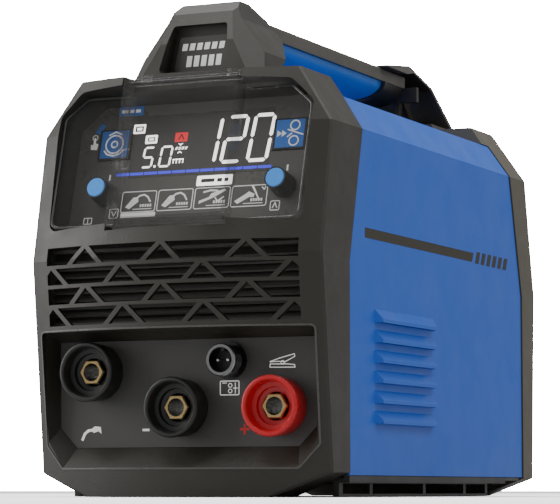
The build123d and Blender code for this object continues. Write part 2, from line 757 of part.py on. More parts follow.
gland_x, gland_z = gland_place
gland_bore = 4.6
with BuildPart() as cable_gland:
    with BuildSketch(upright(rear_panel_y + 4)):
        with Locations(gland_place):
            RegularPolygon(11.5, 6)
    extrude(amount=4)
    with BuildSketch(Plane(origin=(gland_x, rear_panel_y, gland_z), x_dir=(0, 1, 0), z_dir=(0, 0, 1))):
        with BuildLine():
            Polyline((3, 0), (3, 9.0), (9, 9.0), (13.5, 6.6), (13.5, 0), (3, 0))
        make_face()
    revolve(axis=Axis((gland_x, rear_panel_y, gland_z), (0, 1, 0)), revolution_arc=360)
    with BuildSketch(upright(rear_panel_y + 1)):
        with Locations(gland_place):
            Circle(8.0)
    extrude(amount=13)
    with BuildSketch(upright(fan_rear_y)):
        with Locations(gland_place):
            RegularPolygon(11.5, 6)
    extrude(amount=4)
    with BuildSketch(upright(rear_panel_y + 20)):
        with Locations(gland_place):
            Circle(gland_bore)
    extrude(amount=40, mode=Mode.SUBTRACT)
finish_piece(cable_gland, "cable_gland")

gas_x, gas_z = gas_place
gas_pipe_radius = 4.0
gas_pipe_length = 12.0
with BuildPart() as gas_inlet:
    with BuildSketch(upright(rear_panel_y + 3.5)):
        with Locations(gas_place):
            RegularPolygon(8.0, 6)
    extrude(amount=3.5)
    with BuildSketch(Plane(origin=(gas_x, rear_panel_y, gas_z), x_dir=(0, 1, 0), z_dir=(0, 0, 1))):
        Polygon(
            (3, 0), (3, gas_pipe_radius), (3.5 + gas_pipe_length, gas_pipe_radius),
            (4.3 + gas_pipe_length, 3.2),
            (4.3 + gas_pipe_length, 0), align=None,
        )
    revolve(axis=Axis((gas_x, rear_panel_y, gas_z), (0, 1, 0)), revolution_arc=360)
    with BuildSketch(upright(rear_panel_y + 0.5)):
        with Locations(gas_place):
            Circle(5.0)
    extrude(amount=13)
    with BuildSketch(upright(fan_rear_y)):
        with Locations(gas_place):
            RegularPolygon(8.0, 6)
    extrude(amount=3)
    with BuildSketch(upright(rear_panel_y + 20)):
        with Locations(gas_place):
            Circle(2.2)
    extrude(amount=40, mode=Mode.SUBTRACT)
finish_piece(gas_inlet, "gas_inlet")

# ---------------------------------------------------------------- base tray
tray_front_y = -104.4
tray_rear_y = 124.4
tray_low_z = 6.5
tray_top_z = 8.5
rail_x = 67.5
rail_width = 3.0
rail_rear_y = 90.7
rail_windows = ((-100, -68.2), (-64.6, -0.6), (3.0, 55.2), (58.8, 87.2))
tray_half_width = case_half_width - skin_inset - 0.1
tray_plan = (
    (-tray_half_width, tray_front_y), (tray_half_width, tray_front_y), (tray_half_width, 104.0),
    (65.0, tray_rear_y), (-65.0, tray_rear_y), (-tray_half_width, 104.0),
)
board_z = 72.0
board_posts = [(x, y) for x in (-8.0, 64.0) for y in (-88.0, 88.0)]
with BuildPart() as base_tray:
    with BuildSketch(Plane.XY.offset(tray_low_z)):
        Polygon(*tray_plan, align=None)
    extrude(amount=tray_top_z - tray_low_z)
    with BuildSketch(Plane.XY.offset(tray_top_z - 0.5)):
        for side in (-1, 1):
            with Locations((side * 73.5, (tray_front_y + tray_rear_y) / 2)):
                Rectangle(1.6, tray_rear_y - tray_front_y)
    extrude(amount=1.6)
    with BuildSketch(Plane.XY.offset(tray_top_z - 0.5)):
        for side in (-1, 1):
            with Locations((side * 72.1, (tray_front_y + tray_rear_y) / 2)):
                Rectangle(1.4, tray_rear_y - tray_front_y)
    extrude(amount=13)
    with BuildSketch(Plane.XY):
        for side in (-1, 1):
            with Locations((side * rail_x, (tray_front_y + rail_rear_y) / 2)):
                Rectangle(rail_width, rail_rear_y - tray_front_y)
    extrude(amount=tray_low_z)
    with BuildSketch(Plane.YZ):
        for low, high in rail_windows:
            with Locations(((low + high) / 2, 3.7)):
                Rectangle(high - low, 4.8)
    extrude(amount=90, both=True, mode=Mode.SUBTRACT)
    with BuildSketch(Plane.XY.offset(tray_top_z - 0.5)):
        with Locations(*board_posts):
            Circle(3.0)
    extrude(amount=board_z - tray_top_z + 0.5)
finish_piece(base_tray, "base_tray")

# ---------------------------------------------------------------- painted skin
skin_x = case_half_width - skin_inset
skin_top_z = 187.5
skin_top_x = 63.6
skin_foot_z = 9.9
skin_fold_z = 171.3
barrel_radius = 1.5
door_pin_radius = 0.7
door_axis_x = -skin_x + barrel_radius
door_axis_z = 170.6
skin_front_gap = 0.3
skin_door_gap = 1.75
knuckle_start_y = -84.0
knuckle_pitch = 38.0
knuckle_gap = 0.5
skin_outline = (
    (skin_x, -10), (skin_x, skin_fold_z), (skin_top_x, skin_top_z), (-skin_top_x, skin_top_z),
    (-skin_x, skin_fold_z), (-skin_x, -10),
)
skin_sides = inset_joint([j for j in front_joint if j[0] < brow_z], skin_front_gap) + \
    list(reversed(inset_joint([j for j in rear_joint if j[0] < 188.005], -skin_front_gap - 0.6)))


def knuckle_span(i):
    """The stretch of the hinge line that knuckle i fills."""
    start = knuckle_start_y + knuckle_pitch * i
    return start + knuckle_gap / 2, start + knuckle_pitch - knuckle_gap / 2


louvre_count = 6
louvre_pitch = 9.5
louvre_low_z = 34.0
louvre_front = -75.0
louvre_back = 0.5
louvre_hood = 6.8
louvre_reach = 3.4
louvre_bottoms = [louvre_low_z + louvre_pitch * i for i in range(louvre_count)]
louvre_mid_y = (louvre_front + louvre_back) / 2
louvre_length = louvre_back - louvre_front
with BuildPart() as wrap_cover:
    with BuildSketch(upright(140)):
        Polygon(*skin_outline, align=None)
        offset(amount=-sheet, kind=Kind.INTERSECTION, mode=Mode.SUBTRACT)
        with Locations((0, skin_foot_z - 25)):
            Rectangle(160, 50, mode=Mode.SUBTRACT)
        with Locations((-75, (door_axis_z + skin_door_gap) / 2)):
            Rectangle(10, door_axis_z + skin_door_gap, mode=Mode.SUBTRACT)
    extrude(amount=260)
    with BuildSketch(Plane.YZ):
        Polygon(*skin_sides, align=None)
    extrude(amount=80, both=True, mode=Mode.INTERSECT)
    for i in range(5):
        low_y, high_y = knuckle_span(i)
        with BuildSketch(upright(high_y + (0 if i % 2 == 0 else knuckle_gap))):
            with Locations((door_axis_x, door_axis_z)):
                Circle(barrel_radius if i % 2 == 0 else barrel_radius + 0.35)
        if i % 2 == 0:
            extrude(amount=high_y - low_y)
            with BuildSketch(upright(high_y)):
                with Locations((door_axis_x + 0.8, door_axis_z + 1.6)):
                    Rectangle(0.85, 2.2)
            extrude(amount=high_y - low_y)
        else:
            extrude(amount=high_y - low_y + 2 * knuckle_gap, mode=Mode.SUBTRACT)
    with BuildSketch(upright(130)):
        with Locations((door_axis_x, door_axis_z)):
            Circle(door_pin_radius + 0.03)
    extrude(amount=240, mode=Mode.SUBTRACT)
    # louvre hoods: closed on top and at both ends, open beneath
    for low_z in louvre_bottoms:
        with BuildSketch(Plane.YZ.offset(skin_x - 0.5)):
            with Locations((louvre_mid_y, low_z + louvre_hood / 2)):
                Rectangle(louvre_length, louvre_hood)
        with BuildSketch(Plane.YZ.offset(skin_x + louvre_reach)):
            with Locations((louvre_mid_y, low_z + 0.8)):
                Rectangle(louvre_length - 6, 1.6)
        loft()
    for low_z in louvre_bottoms:
        with BuildSketch(Plane.YZ.offset(skin_x - sheet - 0.1)):
            with Locations((louvre_mid_y, low_z + 3.2)):
                Rectangle(louvre_length - 2.4, 4.0)
        with BuildSketch(Plane.YZ.offset(skin_x + louvre_reach - 0.9)):
            with Locations((louvre_mid_y, low_z)):
                Rectangle(louvre_length - 7.4, 1.6)
        loft(mode=Mode.SUBTRACT)
finish_piece(wrap_cover, "wrap_cover")

door_foot_z = 10.4
door_outline = (
    (-104.4, door_foot_z), (-104.4, 108.0), (-89.0, door_axis_z), (112.3, door_axis_z),
    (129.7, 107.0), (129.7, door_foot_z),
)
latch_y = 12.0
latch_z = 36.0
with BuildPart() as side_door:
    with BuildSketch(Plane.YZ.offset(-skin_x)):
        Polygon(*door_outline, align=None)
        with Locations((latch_y, latch_z)):
            Rectangle(6.4, 18, mode=Mode.SUBTRACT)
    extrude(amount=sheet)
    for i in range(5):
        low_y, high_y = knuckle_span(i)
        with BuildSketch(upright(high_y + (knuckle_gap if i % 2 == 0 else 0))):
            with Locations((door_axis_x, door_axis_z)):
                Circle(barrel_radius + 0.35 if i % 2 == 0 else barrel_radius)
        if i % 2 == 0:
            extrude(amount=high_y - low_y + 2 * knuckle_gap, mode=Mode.SUBTRACT)
        else:
            extrude(amount=high_y - low_y)
    with BuildSketch(upright(130)):
        with Locations((door_axis_x, door_axis_z)):
            Circle(door_pin_radius + 0.06)
    extrude(amount=240, mode=Mode.SUBTRACT)
finish_piece(side_door, "side_door")

with BuildPart() as door_hinge_pin:
    with BuildSketch(upright(knuckle_span(4)[1])):
        with Locations((door_axis_x, door_axis_z)):
            Circle(door_pin_radius)
    extrude(amount=knuckle_span(4)[1] - knuckle_span(0)[0])
finish_piece(door_hinge_pin, "door_hinge_pin")

latch_mid_z = latch_z + 3
with BuildPart() as door_latch:
    with BuildSketch(Plane.YZ.offset(-skin_x - 0.55)):
        with Locations((latch_y, latch_mid_z)):
            RectangleRounded(16, 22, 2)
    extrude(amount=0.5)
    with BuildSketch(Plane.YZ.offset(-skin_x - louvre_reach)):
        for rib in (-1, 0, 1):
            with Locations((latch_y, latch_mid_z + 5 * rib)):
                Rectangle(12, 1.6)
    extrude(amount=louvre_reach - 0.3)
    with BuildSketch(Plane.YZ.offset(-skin_x - 0.1)):
        with Locations((latch_y, latch_mid_z)):
            Rectangle(6, 11)
    extrude(amount=sheet + 0.3)
    with BuildSketch(Plane.YZ.offset(-skin_x + sheet + 0.1)):
        with Locations((latch_y, latch_mid_z)):
            Rectangle(14, 22)
    extrude(amount=0.8)
    with BuildSketch(Plane.YZ.offset(-skin_x + sheet + 0.1)):
        with Locations((latch_y, 32)):
            Rectangle(10, 10)
    extrude(amount=3.0)
    with BuildSketch(Plane.YZ.offset(-skin_x + sheet + 2.1)):
        with Locations((latch_y, 29.2)):
            Rectangle(10, 15.6)
    extrude(amount=1.2)
finish_piece(door_latch, "door_latch")

# ---------------------------------------------------------------- carrying handle
rail_half_width = 18.0
rail_low_z = 221.3
rail_top_z = 228.3
rail_rear_y = 104.0
grip_rear_y = 75.0
arch_side = (
    (-116.5, brow_z), (-113.0, 214.0), (-106.0, 229.0), (-97.5, handle_top_z), (-88.0, handle_top_z),
    (-73.0, 229.0), (-66.0, 220.7), (-88.0, 203.0), (-92.0, brow_z),
)
arch_front = (
    (-34.6, brow_z), (34.6, brow_z), (32.0, 208.0), (19.6, 225.0), (15.2, handle_top_z),
    (-15.2, handle_top_z), (-19.6, 225.0), (-32.0, 208.0),
)
pocket_floor_y = -104.5
tongue_half_width = 12.0
tongue_reach = 12.0
with BuildPart() as handle_arch:
    with BuildSketch(upright(-60)):
        Polygon(*arch_front, align=None)
    extrude(amount=60)
    with BuildSketch(Plane.YZ):
        Polygon(*arch_side, align=None)
    extrude(amount=40, both=True, mode=Mode.INTERSECT)
    # broad bevel down each front corner
    for side in (-1, 1):
        with BuildSketch(Plane(origin=(side * 28, -116.5, brow_z), z_dir=(side * 182.4, -211.2, 141.7))):
            Rectangle(200, 200)
        extrude(amount=60, mode=Mode.SUBTRACT)
    with BuildSketch(upright(pocket_floor_y)):
        Polygon((-14, 223), (14, 223), (19, 199.5), (-19, 199.5), align=None)
        fillet(vertices(), 2)
    extrude(amount=40, mode=Mode.SUBTRACT)
    with BuildSketch(upright(-50)):
        with Locations((0, (rail_low_z + rail_top_z) / 2)):
            Rectangle(2 * tongue_half_width + 2 * fit_gap, 4 + 2 * fit_gap)
    extrude(amount=32 + tongue_reach, mode=Mode.SUBTRACT)
finish_piece(handle_arch, "handle_arch")

with BuildPart() as nameplate:
    with BuildSketch(upright(pocket_floor_y)):
        Polygon((-12.5, 218), (12.5, 218), (16.0, 201.5), (-16.0, 201.5), align=None)
        fillet(vertices(), 1.5)
    extrude(amount=0.8)
finish_piece(nameplate, "nameplate")

with BuildPart() as handle_rail:
    with BuildSketch(Plane.YZ):
        Polygon(
            (-72.1, rail_top_z), (-66.1, rail_low_z), (rail_rear_y, rail_low_z), (rail_rear_y, rail_top_z),
            align=None,
        )
    extrude(amount=rail_half_width, both=True)
    fillet(handle_rail.edges().filter_by(Axis.Y).group_by(Axis.Z)[-1], 1.5)
    with BuildSketch(Plane.YZ):
        with Locations((-70 - tongue_reach / 2, (rail_low_z + rail_top_z) / 2)):
            Rectangle(tongue_reach + 6, 4)
    extrude(amount=tongue_half_width, both=True)
finish_piece(handle_rail, "handle_rail")

grip_depth = 8.8
with BuildPart() as handle_grip:
    with BuildSketch(upright(grip_rear_y)):
        with Locations((0, rail_low_z)):
            Ellipse(16.0, grip_depth)
            with Locations((0, 10)):
                Rectangle(40, 20, mode=Mode.SUBTRACT)
    extrude(amount=160)
    with BuildSketch(Plane.YZ):
        Polygon(
            (-65.8, rail_low_z), (-65.8, 220.6), (-78.3, 210.6), (grip_rear_y, 210.6),
            (grip_rear_y, rail_low_z),
            align=None,
        )
    extrude(amount=30, both=True, mode=Mode.INTERSECT)
finish_piece(handle_grip, "handle_grip")

bracket_side = (
    (98.0, brow_z), (133.0, brow_z), (132.2, 201.0), (125.5, 224.0), (113.0, 235.5), (110.0, handle_top_z),
    (69.6, rail_top_z + 0.9), (69.6, rail_top_z), (96.0, rail_top_z), (103.0, 219.0), (98.0, 203.0),
)
bracket_void = (
    (90.0, brow_z + 3), (128.6, brow_z + 3), (122.5, 222.5), (111.5, 231.6), (96.0, rail_top_z),
    (90.0, 222.0),
)
bracket_front = (
    (-37.0, brow_z), (37.0, brow_z), (25.5, 224.0), (17.0, 235.5), (-17.0, 235.5), (-25.5, 224.0),
)
sleeve_radius = 17.4
with BuildPart() as handle_bracket:
    with BuildSketch(upright(140)):
        Polygon(*bracket_front, align=None)
    extrude(amount=80)
    with BuildSketch(Plane.YZ):
        Polygon(*bracket_side, align=None)
    extrude(amount=40, both=True, mode=Mode.INTERSECT)
    with BuildPart(mode=Mode.PRIVATE) as bracket_hollow:
        with BuildSketch(upright(140)):
            Polygon(*bracket_front, align=None)
            offset(amount=-3.0, kind=Kind.INTERSECTION, mode=Mode.REPLACE)
        extrude(amount=80)
        with BuildSketch(Plane.YZ):
            Polygon(*bracket_void, align=None)
        extrude(amount=40, both=True, mode=Mode.INTERSECT)
    add(bracket_hollow.part, mode=Mode.SUBTRACT)
    with BuildSketch(Plane.YZ):
        Polygon(
            (90, brow_z + 3), (128.0, brow_z + 3), (122.0, 222.0), (111.3, 231.0), (96, 228.0), (90, 222),
            align=None,
        )
    extrude(amount=40, both=True, mode=Mode.SUBTRACT)
    # struts that stiffen the open shell
    for side in (-1, 1):
        with BuildSketch(Plane.YZ.offset(side * 15 - 1.2)):
            Polygon(
                (101.5, 221.3), (104.5, 221.3), (129.0, 201.0), (128.0, 197.8), (124.0, 199.0),
                (101.5, 218.0), align=None,
            )
            Polygon((113.0, 213.5), (115.4, 211.6), (120.5, 224.5), (118.0, 227.0), align=None)
            Polygon((98.0, 198.5), (101.0, 198.5), (104.5, 213.5), (104.5, 221.3), (101.5, 221.3), align=None)
        extrude(amount=2.4)
    # dark sleeve that closes the rear end of the grip, and the web that carries it
    with BuildSketch(upright(rail_rear_y)):
        with Locations((0, rail_low_z - 4)):
            Rectangle(52, 8)
    extrude(amount=3)
    with BuildSketch(upright(rail_rear_y)):
        with Locations((0, rail_low_z)):
            Ellipse(sleeve_radius, grip_depth + 0.6)
            with Locations((0, 10)):
                Rectangle(40, 20, mode=Mode.SUBTRACT)
    extrude(amount=rail_rear_y - grip_rear_y)
    with BuildSketch(upright(grip_rear_y + 4)):
        with Locations((0, rail_low_z)):
            Ellipse(sleeve_radius + 1.0, grip_depth + 1.6)
            with Locations((0, 10)):
                Rectangle(40, 20, mode=Mode.SUBTRACT)
    extrude(amount=4)
finish_piece(handle_bracket, "handle_bracket")

# ---------------------------------------------------------------- inside: frame and power parts
divider_face = divider_x - 1.4
divider_back = divider_x + 0.1
roll_z = wire_z - drive_radius - 0.2
idler_z = wire_z + idler_radius + 0.2
with BuildPart() as divider_plate:
    with BuildSketch(Plane.YZ.offset(divider_face)):
        Polygon(
            (-108, tray_top_z), (-108, 110), (-84, 110), (-84, 183), (118, 183), (118, tray_top_z), align=None,
        )
        with Locations((feed_y, roll_z)):
            Circle(6, mode=Mode.SUBTRACT)
    extrude(amount=divider_back - divider_face)
    with BuildSketch(Plane.XY.offset(tray_top_z)):
        with Locations((divider_back + 1.5, 5)):
            Rectangle(5, 210)
    extrude(amount=1.5)
finish_piece(divider_plate, "divider_plate")

with BuildPart() as main_board:
    with BuildSketch(Plane.XY.offset(board_z)):
        with Locations((28, 0)):
            Rectangle(82, 190)
    extrude(amount=1.6)
finish_piece(main_board, "main_board")

board_top_z = board_z + 1.6
fin_count = 7
fin_pitch = 4.6
with BuildPart() as heat_sinks:
    with BuildSketch(Plane.XY.offset(board_top_z)):
        for x in (7.0, 49.0):
            with Locations((x, 12)):
                Rectangle(30, 96)
    extrude(amount=8)
    with BuildSketch(Plane.XY.offset(board_top_z + 7)):
        for x in (7.0, 49.0):
            for i in range(fin_count):
                with Locations((x + fin_pitch * (i - (fin_count - 1) / 2), 12)):
                    Rectangle(1.8, 96)
    extrude(amount=50)
finish_piece(heat_sinks, "heat_sinks")

with BuildPart() as filter_capacitors:
    with BuildSketch(Plane.XY.offset(board_top_z)):
        for x in (1.0, 28.0, 55.0):
            with Locations((x, -68)):
                Circle(11)
    extrude(amount=35)
    fillet(filter_capacitors.faces().sort_by(Axis.Z)[-3:].edges(), 1.2)
finish_piece(filter_capacitors, "filter_capacitors")

core_x = 32.0
core_y = 10.0
core_depth = 40.0
core_mid_z = 33.5
leg_offset = 11.0
window_height = 30.0
with BuildPart() as transformer_core:
    with BuildSketch(upright(core_y + core_depth / 2)):
        with Locations((core_x, core_mid_z)):
            Rectangle(48, 50)
            for side in (-1, 1):
                with Locations((side * leg_offset, 0)):
                    Rectangle(10, window_height, mode=Mode.SUBTRACT)
    extrude(amount=core_depth)
finish_piece(transformer_core, "transformer_core")

with BuildPart() as transformer_winding:
    with BuildSketch(Plane.XY.offset(core_mid_z - window_height / 2 + 0.2)):
        with Locations((core_x, core_y)):
            RectangleRounded(31.6, core_depth + 19.6, 4)
            Rectangle(12.2, core_depth + 0.2, mode=Mode.SUBTRACT)
    extrude(amount=window_height - 0.4)
finish_piece(transformer_winding, "transformer_winding")

# ---------------------------------------------------------------- inside: wire feeder
shaft_radius = 4.0
with BuildPart() as feed_motor:
    with BuildSketch(Plane.YZ.offset(divider_back)):
        with Locations((feed_y, roll_z)):
            RectangleRounded(36, 36, 3)
    extrude(amount=16)
    with BuildSketch(Plane.YZ.offset(divider_back + 15.5)):
        with Locations((feed_y, roll_z)):
            Circle(14)
    extrude(amount=34)
    fillet(feed_motor.faces().sort_by(Axis.X)[-1].edges(), 2)
    with BuildSketch(Plane.YZ.offset(divider_back - 1)):
        with Locations((feed_y, roll_z)):
            Circle(shaft_radius + running_gap)
    extrude(amount=13, mode=Mode.SUBTRACT)
finish_piece(feed_motor, "feed_motor")

housing_face = -38.0
arm_pivot_y = -33.0
arm_pivot_z = 74.0
arm_pin_radius = 3.0
lever_y = -80.5
lever_z = 68.0
lever_pin_radius = 1.5
guide_radius = 2.5
front_block_y = -80.5
rear_block_y = -40.0
with BuildPart() as feeder_housing:
    with BuildSketch(Plane.YZ.offset(housing_face)):
        with Locations((-56, 53)):
            RectangleRounded(56, 54, 4)
        with Locations((feed_y, roll_z)):
            Circle(shaft_radius + running_gap, mode=Mode.SUBTRACT)
    extrude(amount=divider_face - housing_face)
    with BuildSketch(Plane.YZ.offset(housing_face - 6.0)):
        with Locations((arm_pivot_y, arm_pivot_z)):
            Circle(arm_pin_radius)
    extrude(amount=7)
    with BuildSketch(Plane.YZ.offset(housing_face - 14)):
        with Locations((front_block_y, 57.5), (rear_block_y, 57.5)):
            Rectangle(6.4, 13)
    extrude(amount=15)
    with BuildSketch(upright(-20)):
        with Locations((feed_x, wire_z)):
            Circle(guide_radius + 0.02)
    extrude(amount=80, mode=Mode.SUBTRACT)
    for x in (feed_x - 4.0, feed_x + 1.9):
        with BuildSketch(Plane.YZ.offset(x)):
            with Locations((lever_y, 67.2)):
                Rectangle(6.4, 8)
        extrude(amount=2.1)
    with BuildSketch(Plane.YZ.offset(feed_x - 4.0)):
        with Locations((lever_y, lever_z)):
            Circle(lever_pin_radius)
    extrude(amount=8)
finish_piece(feeder_housing, "feeder_housing")

with BuildPart() as wire_guides:
    with BuildSketch(upright(-69.5)):
        with Locations((feed_x, wire_z)):
            Circle(guide_radius)
    extrude(amount=31.5)
    with BuildSketch(upright(-20)):
        with Locations((feed_x, wire_z)):
            Circle(guide_radius)
    extrude(amount=21)
    with BuildSketch(upright(-10)):
        with Locations((feed_x, wire_z)):
            Circle(1.0)
    extrude(amount=100, mode=Mode.SUBTRACT)
finish_piece(wire_guides, "wire_guides")

roll_half_width = 4.0
with BuildPart() as drive_roll:
    with BuildSketch(Plane(origin=(feed_x, feed_y, roll_z), x_dir=(1, 0, 0), z_dir=(0, -1, 0))):
        with BuildLine():
            Polyline(
                (-7, 0), (-7, 5.4), (-6.4, 6), (-4, 6), (-roll_half_width, drive_radius),
                (-0.8, drive_radius), (0, drive_radius - 0.8), (0.8, drive_radius),
                (roll_half_width, drive_radius), (roll_half_width, 7), (8, 7), (8, shaft_radius),
                (38, shaft_radius),
                (38, 0), (-7, 0),
            )
        make_face()
    revolve(axis=Axis((0, feed_y, roll_z), (1, 0, 0)), revolution_arc=360)
    with BuildSketch(Plane.YZ.offset(feed_x - roll_half_width - 4)):
        with Locations((feed_y, roll_z)):
            with PolarLocations(6, 12):
                Circle(0.7)
    extrude(amount=4, mode=Mode.SUBTRACT)
finish_piece(drive_roll, "drive_roll")

arm_inner_x = housing_face - 0.4
arm_outer_x = arm_inner_x - 3.4
idler_axle_radius = 2.5
with BuildPart() as pressure_arm:
    with BuildSketch(Plane.YZ.offset(arm_outer_x)):
        Polygon(
            (-84, 74), (-84, 77), (-60, 79.5), (-33, 80.5), (-33, 67.5), (-48, 63.2), (-60, 63.2), (-70, 74),
            align=None,
        )
        with Locations((arm_pivot_y, arm_pivot_z)):
            Circle(6.5)
            Circle(arm_pin_radius + running_gap, mode=Mode.SUBTRACT)
    extrude(amount=arm_inner_x - arm_outer_x)
    with BuildSketch(Plane.YZ.offset(feed_x - roll_half_width - 1)):
        with Locations((feed_y, idler_z)):
            Circle(idler_axle_radius)
    extrude(amount=arm_outer_x - feed_x + roll_half_width + 2)
    with BuildSketch(Plane.XY.offset(74)):
        with Locations(((arm_inner_x + feed_x - 4.6) / 2, -80)):
            Rectangle(arm_inner_x - feed_x + 4.6, 8)
        with Locations((feed_x, -81)):
            Rectangle(4.8, 6.4, mode=Mode.SUBTRACT)
    extrude(amount=3)
finish_piece(pressure_arm, "pressure_arm")

with BuildPart() as idler_roll:
    with BuildSketch(Plane(origin=(feed_x, feed_y, idler_z), x_dir=(1, 0, 0), z_dir=(0, -1, 0))):
        with BuildLine():
            Polyline(
                (-roll_half_width, idler_axle_radius + running_gap), (-roll_half_width, idler_radius - 0.6),
                (-roll_half_width + 0.6, idler_radius), (-0.8, idler_radius), (0, idler_radius - 0.8),
                (0.8, idler_radius), (roll_half_width - 0.6, idler_radius),
                    (roll_half_width, idler_radius - 0.6),
                (roll_half_width, idler_axle_radius + running_gap),
                (-roll_half_width, idler_axle_radius + running_gap),
            )
        make_face()
    revolve(axis=Axis((0, feed_y, idler_z), (1, 0, 0)), revolution_arc=360)
finish_piece(idler_roll, "idler_roll")

spring_low_z = 78.5
knob_low_z = 88.0
with BuildPart() as tension_knob:
    with BuildSketch(Plane.YZ.offset(feed_x - 1.7)):
        with Locations((lever_y, lever_z)):
            Circle(3)
            Circle(lever_pin_radius + running_gap, mode=Mode.SUBTRACT)
    extrude(amount=3.4)
    with BuildSketch(Plane.XY.offset(lever_z + 2.4)):
        with Locations((feed_x, lever_y)):
            Circle(1.6)
    extrude(amount=25)
    with BuildSketch(Plane.XY.offset(knob_low_z)):
        with Locations((feed_x, lever_y)):
            Circle(7.6)
    extrude(amount=13)
    fillet(tension_knob.faces().sort_by(Axis.Z)[-1].edges(), 1.5)
    with BuildSketch(Plane.XY.offset(knob_low_z)):
        with Locations((feed_x, lever_y)):
            with PolarLocations(8.2, 10):
                Circle(1.2)
    extrude(amount=11, mode=Mode.SUBTRACT)
finish_piece(tension_knob, "tension_knob")

spring_turns = 5
spring_height = knob_low_z - spring_low_z - 1.2
with BuildPart() as tension_spring:
    with BuildLine():
        Helix(
            pitch=spring_height / spring_turns, height=spring_height, radius=3.4,
            center=(feed_x, lever_y, spring_low_z + 0.6),
        )
    with BuildSketch(Plane(origin=(feed_x + 3.4, lever_y, spring_low_z + 0.6), z_dir=(0, 1, 0))):
        Circle(0.55)
    sweep(is_frenet=True)
finish_piece(tension_spring, "tension_spring")

# ---------------------------------------------------------------- inside: wire spool
spool_inner_x = -20.6
spool_outer_x = -66.4
spool_radius = 50.0
spool_core_radius = 22.0
flange_thickness = 2.4
with BuildPart() as spool_hub:
    with BuildSketch(Plane(origin=(0, spool_y, spool_z), x_dir=(1, 0, 0), z_dir=(0, -1, 0))):
        Polygon(
            (divider_face, 0), (divider_face, 15), (spool_inner_x + 0.3, 15),
            (spool_inner_x + 0.3, hub_radius), (spool_outer_x - 0.3, hub_radius), (spool_outer_x - 0.3, 12.5),
            (-71.4, 11.5), (-71.4, 0), align=None,
        )
    revolve(axis=Axis((0, spool_y, spool_z), (1, 0, 0)), revolution_arc=360)
    with BuildSketch(Plane.YZ.offset(-73)):
        with Locations((spool_y, spool_z)):
            with PolarLocations(13.4, 6):
                Circle(3)
    extrude(amount=-73 - spool_outer_x, mode=Mode.SUBTRACT)
finish_piece(spool_hub, "spool_hub")

with BuildPart() as wire_spool:
    with BuildSketch(Plane(origin=(0, spool_y, spool_z), x_dir=(1, 0, 0), z_dir=(0, -1, 0))):
        with BuildLine():
            Polyline(
                (spool_inner_x, hub_radius + 0.08), (spool_inner_x, spool_radius),
                (spool_inner_x - flange_thickness, spool_radius),
                (spool_inner_x - flange_thickness, spool_core_radius),
                (spool_outer_x + flange_thickness, spool_core_radius),
                (spool_outer_x + flange_thickness, spool_radius),
                (spool_outer_x, spool_radius), (spool_outer_x, hub_radius + 0.08),
                (spool_inner_x, hub_radius + 0.08),
            )
        make_face()
    revolve(axis=Axis((0, spool_y, spool_z), (1, 0, 0)), revolution_arc=360)
    with BuildSketch(Plane.YZ.offset(-70)):
        with Locations((spool_y, spool_z)):
            with PolarLocations(15.5, 6):
                Circle(4)
    extrude(amount=60, mode=Mode.SUBTRACT)
finish_piece(wire_spool, "wire_spool")

pack_radius = 42.0
with BuildPart() as wire_pack:
    with BuildSketch(Plane(origin=(0, spool_y, spool_z), x_dir=(1, 0, 0), z_dir=(0, -1, 0))):
        with Locations(((spool_inner_x + spool_outer_x) / 2, (pack_radius + spool_core_radius + 0.1) / 2)):
            Rectangle(
                spool_inner_x - spool_outer_x - 2 * flange_thickness - 0.2, pack_radius - spool_core_radius - 0.1,
            )
    revolve(axis=Axis((0, spool_y, spool_z), (1, 0, 0)), revolution_arc=360)
    fillet(wire_pack.edges().filter_by(GeomType.CIRCLE).group_by(SortBy.RADIUS)[-1], 1.5)
finish_piece(wire_pack, "wire_pack")
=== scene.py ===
import math

import bmesh
import bpy
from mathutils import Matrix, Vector


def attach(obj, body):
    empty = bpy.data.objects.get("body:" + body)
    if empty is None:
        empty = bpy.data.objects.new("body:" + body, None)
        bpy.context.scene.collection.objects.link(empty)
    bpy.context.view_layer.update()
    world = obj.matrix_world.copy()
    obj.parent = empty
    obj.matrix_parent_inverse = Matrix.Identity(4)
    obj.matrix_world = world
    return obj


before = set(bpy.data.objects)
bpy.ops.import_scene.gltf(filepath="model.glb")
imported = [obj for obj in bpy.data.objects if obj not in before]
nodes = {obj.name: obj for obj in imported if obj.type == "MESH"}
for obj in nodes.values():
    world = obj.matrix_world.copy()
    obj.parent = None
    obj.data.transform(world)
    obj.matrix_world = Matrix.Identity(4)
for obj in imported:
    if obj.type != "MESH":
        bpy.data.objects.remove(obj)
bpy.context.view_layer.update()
MM = 0.001


# ---------------------------------------------------------------- materials
# Sockets of the Mix node when it mixes colours
MIX_A, MIX_B = 6, 7
MIX_RESULT = 2


